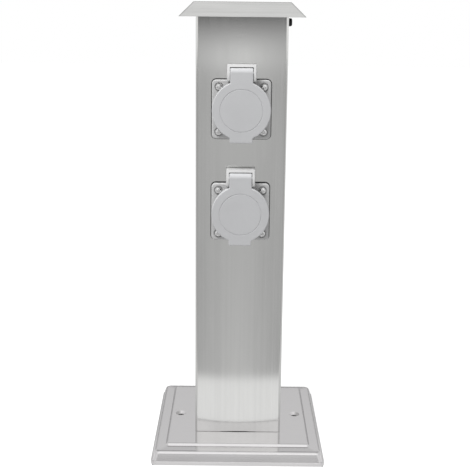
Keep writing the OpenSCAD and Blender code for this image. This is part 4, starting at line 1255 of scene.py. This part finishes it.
# Half the floor's width in metres, how far it lies below the base in millimetres, its grey where
# the post's shadow falls, and how far under the base's edge its white reaches, in millimetres
FLOOR_REACH = 6.0
FLOOR_DROP = 0.2
FLOOR_GREY = 0.3
WHITE_REACH = 1

# The floor in the metal's view, in half widths of the base from its middle: where the table has
# replaced the sheet, where the sheet's shade ends and where the table's shade ends
TABLE_START = 1.2
SHEET_SHADE_END = 1.3
TABLE_SHADE_END = 2

# How light the sheet's shade is, as a share of the sheet
SHEET_SHADE = 0.82

# Key light's width, place and target, in metres
KEY_SIZE = 0.7
KEY_PLACE = Vector((-0.50, -0.60, 1.70))
KEY_TARGET = Vector((0, -0.04, 0.25))

# Sensor's width in millimetres, and the nearest distance that the camera sees, in metres
SENSOR_WIDTH = 36
NEAREST = 0.05

# What metal sees of the studio, as a level at each angle in degrees: first from the horizon in
# front over the top to the horizon behind, then from the horizon at the sides to the top
OVER_LEVELS = (
    (-6, 0.66), (-3.5, 0.66), (-2, 0.57), (-1.2, 0.54), (-0.7, 0.32), (-0.2, 0.02), (3, 0.02),
    (8, 0.52), (20, 1.10), (26, 1.25), (32, 1.25), (42, 1.10), (65, 1.10), (80, 0.94),
    (90, 0.85), (105, 0.48), (120, 0.36), (138, 0.55), (150, 0.84), (160, 0.70), (170, 0.25), (180, 0.20),
)
SIDE_LEVELS = ((0, 1.0), (12, 0.80), (25, 0.70), (45, 0.90), (90, 0.80))

# The sides take over from the front and the back between these shares aside
SIDE_START = 0.35
SIDE_FULL = 0.7


def grey(level):
    """A grey as a colour."""
    return (level, level, level, 1)


def levels(tree, angle, pairs):
    """Grey levels at the angles of the pairs, eased between them."""
    first, last = pairs[0][0], pairs[-1][0]
    along = between(tree, angle, math.radians(first), math.radians(last), 0, 1)
    node = put(tree, "ShaderNodeValToRGB", {"Fac": along})
    stops = node.color_ramp.elements
    for degrees, level in pairs[1:-1]:
        stops.new((degrees - first) / (last - first)).color = grey(level)
    stops[0].color = grey(pairs[0][1])
    stops[-1].color = grey(pairs[-1][1])
    return node.outputs["Color"]


def mirrored_floor(tree, stage, aside, deep, from_middle):
    """What metal sees of the floor: a sheet before the post, a table round it and ground beyond."""
    near = -stage.sheet_front * MM
    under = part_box("base_plate")[1].x
    ground = between(tree, aside, 0, under, stage.ground_level, stage.ground_edge)
    reach = stage.distance_reach * MM
    horizon = between(tree, aside, 0, reach, stage.distance_level, stage.distance_edge)
    distant = between(tree, deep, -FLOOR_REACH / 2, near, 1, 0)
    beyond = blend(tree, distant, ground, horizon)
    shade = SHEET_SHADE * stage.sheet_level
    sheet = between(tree, from_middle, under, SHEET_SHADE_END * under, shade, stage.sheet_level)
    shade = stage.table_shade
    table = between(tree, from_middle, under, TABLE_SHADE_END * under, shade, stage.table_level)
    beside = between(tree, aside, under, TABLE_START * under, 0, 1)
    behind = between(tree, deep, -under, 0, 0, 1)
    close = blend(tree, maths(tree, "MAXIMUM", beside, behind), sheet, table)
    return blend(tree, between(tree, deep, near - stage.sheet_fade * MM, near, 0, 1), beyond, close)


def floor_material(stage):
    """White floor that keeps the post's shadow, while metal sees a studio's floor."""
    material = bpy.data.materials.new("floor_white")
    material.use_nodes = True
    tree = material.node_tree
    tree.nodes.clear()
    path = put(tree, "ShaderNodeLightPath").outputs
    place = axes(tree, put(tree, "ShaderNodeNewGeometry").outputs["Position"])
    aside = maths(tree, "ABSOLUTE", place["X"])
    from_middle = maths(tree, "MAXIMUM", aside, maths(tree, "ABSOLUTE", place["Y"]))
    seen = mirrored_floor(tree, stage, aside, place["Y"], from_middle)
    white = blend(tree, path["Is Diffuse Ray"], stage.floor_white, stage.floor_bounce)
    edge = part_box("base_plate")[1].x - WHITE_REACH * MM
    in_the_open = maths(tree, "GREATER_THAN", from_middle, edge)
    open_white = maths(tree, "MULTIPLY", white, in_the_open)
    mirrored = put(tree, "ShaderNodeEmission", {"Color": grey(1), "Strength": seen})
    matt = put(tree, "ShaderNodeBsdfDiffuse", {"Color": grey(FLOOR_GREY)})
    bright = put(tree, "ShaderNodeEmission", {"Color": grey(1), "Strength": open_white})
    lit = put(tree, "ShaderNodeAddShader", {0: matt.outputs[0], 1: bright.outputs[0]})
    values = {0: path["Is Glossy Ray"], 1: lit.outputs[0], 2: mirrored.outputs[0]}
    both = put(tree, "ShaderNodeMixShader", values)
    put(tree, "ShaderNodeOutputMaterial", {"Surface": both.outputs[0]})
    return material


def make_floor(stage):
    """Plain floor under the post."""
    data = bpy.data.meshes.new("floor")
    corners = ((-1, -1), (1, -1), (1, 1), (-1, 1))
    points = [(x * FLOOR_REACH, y * FLOOR_REACH, -FLOOR_DROP * MM) for x, y in corners]
    data.from_pydata(points, [], [(0, 1, 2, 3)])
    data.materials.append(floor_material(stage))
    floor = bpy.data.objects.new("floor", data)
    bpy.context.scene.collection.objects.link(floor)


def window_glow(tree, stage, towards):
    """What metal sees of a low window in front, brightest in its middle."""
    width = math.sin(math.radians(stage.window_width))
    height = math.sin(math.radians(stage.window_height))
    drop = math.sin(math.radians(stage.window_drop))
    values = {"Vector": towards, "Location": (0, 0, drop / height), "Scale": (1 / width, 0, 1 / height)}
    pane = put(tree, "ShaderNodeMapping", values).outputs[0]
    from_pane = put(tree, "ShaderNodeVectorMath", {0: pane}, operation="LENGTH").outputs["Value"]
    return between(tree, from_pane, 0, 1, stage.window_level, 0)


def make_world(stage):
    """White all round for the camera; soft light from above for the post, a studio for metal."""
    world = bpy.data.worlds.new("studio")
    bpy.context.scene.world = world
    world.use_nodes = True
    tree = world.node_tree
    tree.nodes.clear()
    path = put(tree, "ShaderNodeLightPath").outputs
    towards = put(tree, "ShaderNodeTexCoord").outputs["Generated"]
    parts = axes(tree, towards)
    ahead = maths(tree, "MULTIPLY", parts["Y"], -1)
    over = levels(tree, maths(tree, "ARCTAN2", parts["Z"], ahead), OVER_LEVELS)
    beside = levels(tree, maths(tree, "ARCSINE", parts["Z"]), SIDE_LEVELS)
    aside = maths(tree, "ABSOLUTE", parts["X"])
    room = blend(tree, between(tree, aside, SIDE_START, SIDE_FULL, 0, 1), over, beside)
    studio = maths(tree, "ADD", room, window_glow(tree, stage, towards))
    soft = between(tree, parts["Z"], 0, 1, stage.ambient_low, stage.ambient_high)
    lit = blend(tree, path["Is Glossy Ray"], soft, studio)
    clear = maths(tree, "MAXIMUM", path["Is Camera Ray"], path["Is Transmission Ray"])
    strength = blend(tree, clear, lit, 1.0)
    sky = put(tree, "ShaderNodeBackground", {"Color": grey(1), "Strength": strength})
    put(tree, "ShaderNodeOutputWorld", {"Surface": sky.outputs[0]})


def make_light(stage):
    """Soft square key light, hidden from metal."""
    lamp = bpy.data.lights.new("key_light", "AREA")
    lamp.energy = stage.key_power
    lamp.size = KEY_SIZE
    light = bpy.data.objects.new("key_light", lamp)
    light.visible_glossy = False
    light.location = KEY_PLACE
    light.rotation_euler = (KEY_TARGET - KEY_PLACE).to_track_quat("-Z", "Y").to_euler()
    bpy.context.scene.collection.objects.link(light)


def make_camera(stage):
    """Camera in front of the post, a little below its top."""
    lens = bpy.data.cameras.new("camera")
    lens.sensor_width = SENSOR_WIDTH
    lens.lens = stage.lens
    lens.shift_y = stage.shift_y
    lens.clip_start = NEAREST
    camera = bpy.data.objects.new("camera", lens)
    place = Vector((stage.camera_x, stage.camera_y, stage.camera_z)) * MM
    tilt = Matrix.Rotation(math.radians(90 - stage.camera_pitch), 4, "X")
    roll = Matrix.Rotation(math.radians(stage.camera_roll), 4, "Z")
    camera.matrix_world = Matrix.Translation(place) @ tilt @ roll
    bpy.context.scene.collection.objects.link(camera)
    bpy.context.scene.camera = camera


# Operators

class SOCKETPOST_OT_set_stage(bpy.types.Operator):
    """Lay the floor, set the light and place the camera"""

    bl_idname = "socketpost.set_stage"
    bl_label = "Set the stage"

    def execute(self, context):
        stage = settings(context.scene.post_stage)
        context.scene.view_settings.view_transform = "Standard"
        make_floor(stage)
        make_world(stage)
        make_light(stage)
        make_camera(stage)
        return {"FINISHED"}


class SOCKETPOST_OT_press_base(bpy.types.Operator):
    """Press the base and set its rubber grommet"""

    bl_idname = "socketpost.press_base"
    bl_label = "Press the base"

    def execute(self, context):
        size = settings(context.scene.post_base)
        make_base(size)
        make_grommet(size)
        return {"FINISHED"}


class SOCKETPOST_OT_fold_column(bpy.types.Operator):
    """Fold the column and punch its holes"""

    bl_idname = "socketpost.fold_column"
    bl_label = "Fold the column"

    def execute(self, context):
        make_column(settings(context.scene.post_column), settings(context.scene.post_socket))
        return {"FINISHED"}


class SOCKETPOST_OT_fold_cap(bpy.types.Operator):
    """Fold the roof cap"""

    bl_idname = "socketpost.fold_cap"
    bl_label = "Fold the cap"

    def execute(self, context):
        make_cap(settings(context.scene.post_cap))
        return {"FINISHED"}


class SOCKETPOST_OT_mould_sockets(bpy.types.Operator):
    """Mould both sockets, lay their gaskets and drive their screws"""

    bl_idname = "socketpost.mould_sockets"
    bl_label = "Mould the sockets"

    def execute(self, context):
        size = settings(context.scene.post_socket)
        make_bodies(size)
        make_gaskets(size)
        make_screws(size)
        return {"FINISHED"}


class SOCKETPOST_OT_mould_lids(bpy.types.Operator):
    """Mould both lids and fit their seals"""

    bl_idname = "socketpost.mould_lids"
    bl_label = "Mould the lids"

    def execute(self, context):
        size = settings(context.scene.post_socket)
        make_lids(size)
        make_seals(size)
        return {"FINISHED"}


class SOCKETPOST_OT_wind_springs(bpy.types.Operator):
    """Wind the closing springs"""

    bl_idname = "socketpost.wind_springs"
    bl_label = "Wind the springs"

    def execute(self, context):
        make_springs(settings(context.scene.post_socket))
        return {"FINISHED"}


class SOCKETPOST_OT_finish_parts(bpy.types.Operator):
    """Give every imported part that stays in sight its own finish"""

    bl_idname = "socketpost.finish_parts"
    bl_label = "Finish the packed parts"

    def execute(self, context):
        for node in frame["nodes"].values():
            if not node.hide_render:
                for holder in node.material_slots:
                    holder.material = finish(holder.material.name)
        return {"FINISHED"}


class SOCKETPOST_PT_panel(bpy.types.Panel):
    """Steps that build the post's looks, in order"""

    bl_idname = "SOCKETPOST_PT_panel"
    bl_label = "Garden socket post"
    bl_space_type = "VIEW_3D"
    bl_region_type = "UI"
    bl_category = "Socket post"

    def draw(self, context):
        for step in STEPS:
            self.layout.operator(step.bl_idname)


STEPS = (
    SOCKETPOST_OT_set_stage,
    SOCKETPOST_OT_press_base,
    SOCKETPOST_OT_fold_column,
    SOCKETPOST_OT_fold_cap,
    SOCKETPOST_OT_mould_sockets,
    SOCKETPOST_OT_mould_lids,
    SOCKETPOST_OT_wind_springs,
    SOCKETPOST_OT_finish_parts,
)
GROUPS = {
    "post_base": BaseSizes,
    "post_column": ColumnSizes,
    "post_cap": CapSizes,
    "post_socket": SocketSizes,
    "post_finishes": Finishes,
    "post_stage": Stage,
}


def register():
    """Makes the settings, the steps and the panel known."""
    for group in (*GROUPS.values(), *STEPS, SOCKETPOST_PT_panel):
        bpy.utils.register_class(group)
    for name, group in GROUPS.items():
        setattr(bpy.types.Scene, name, PointerProperty(type=group))


def unregister():
    """Takes them away again."""
    for name in GROUPS:
        delattr(bpy.types.Scene, name)
    for group in reversed((*GROUPS.values(), *STEPS, SOCKETPOST_PT_panel)):
        bpy.utils.unregister_class(group)


def main():
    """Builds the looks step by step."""
    register()
    for step in STEPS:
        family, action = step.bl_idname.split(".")
        getattr(getattr(bpy.ops, family), action)()


if __name__ == "__main__":
    main()
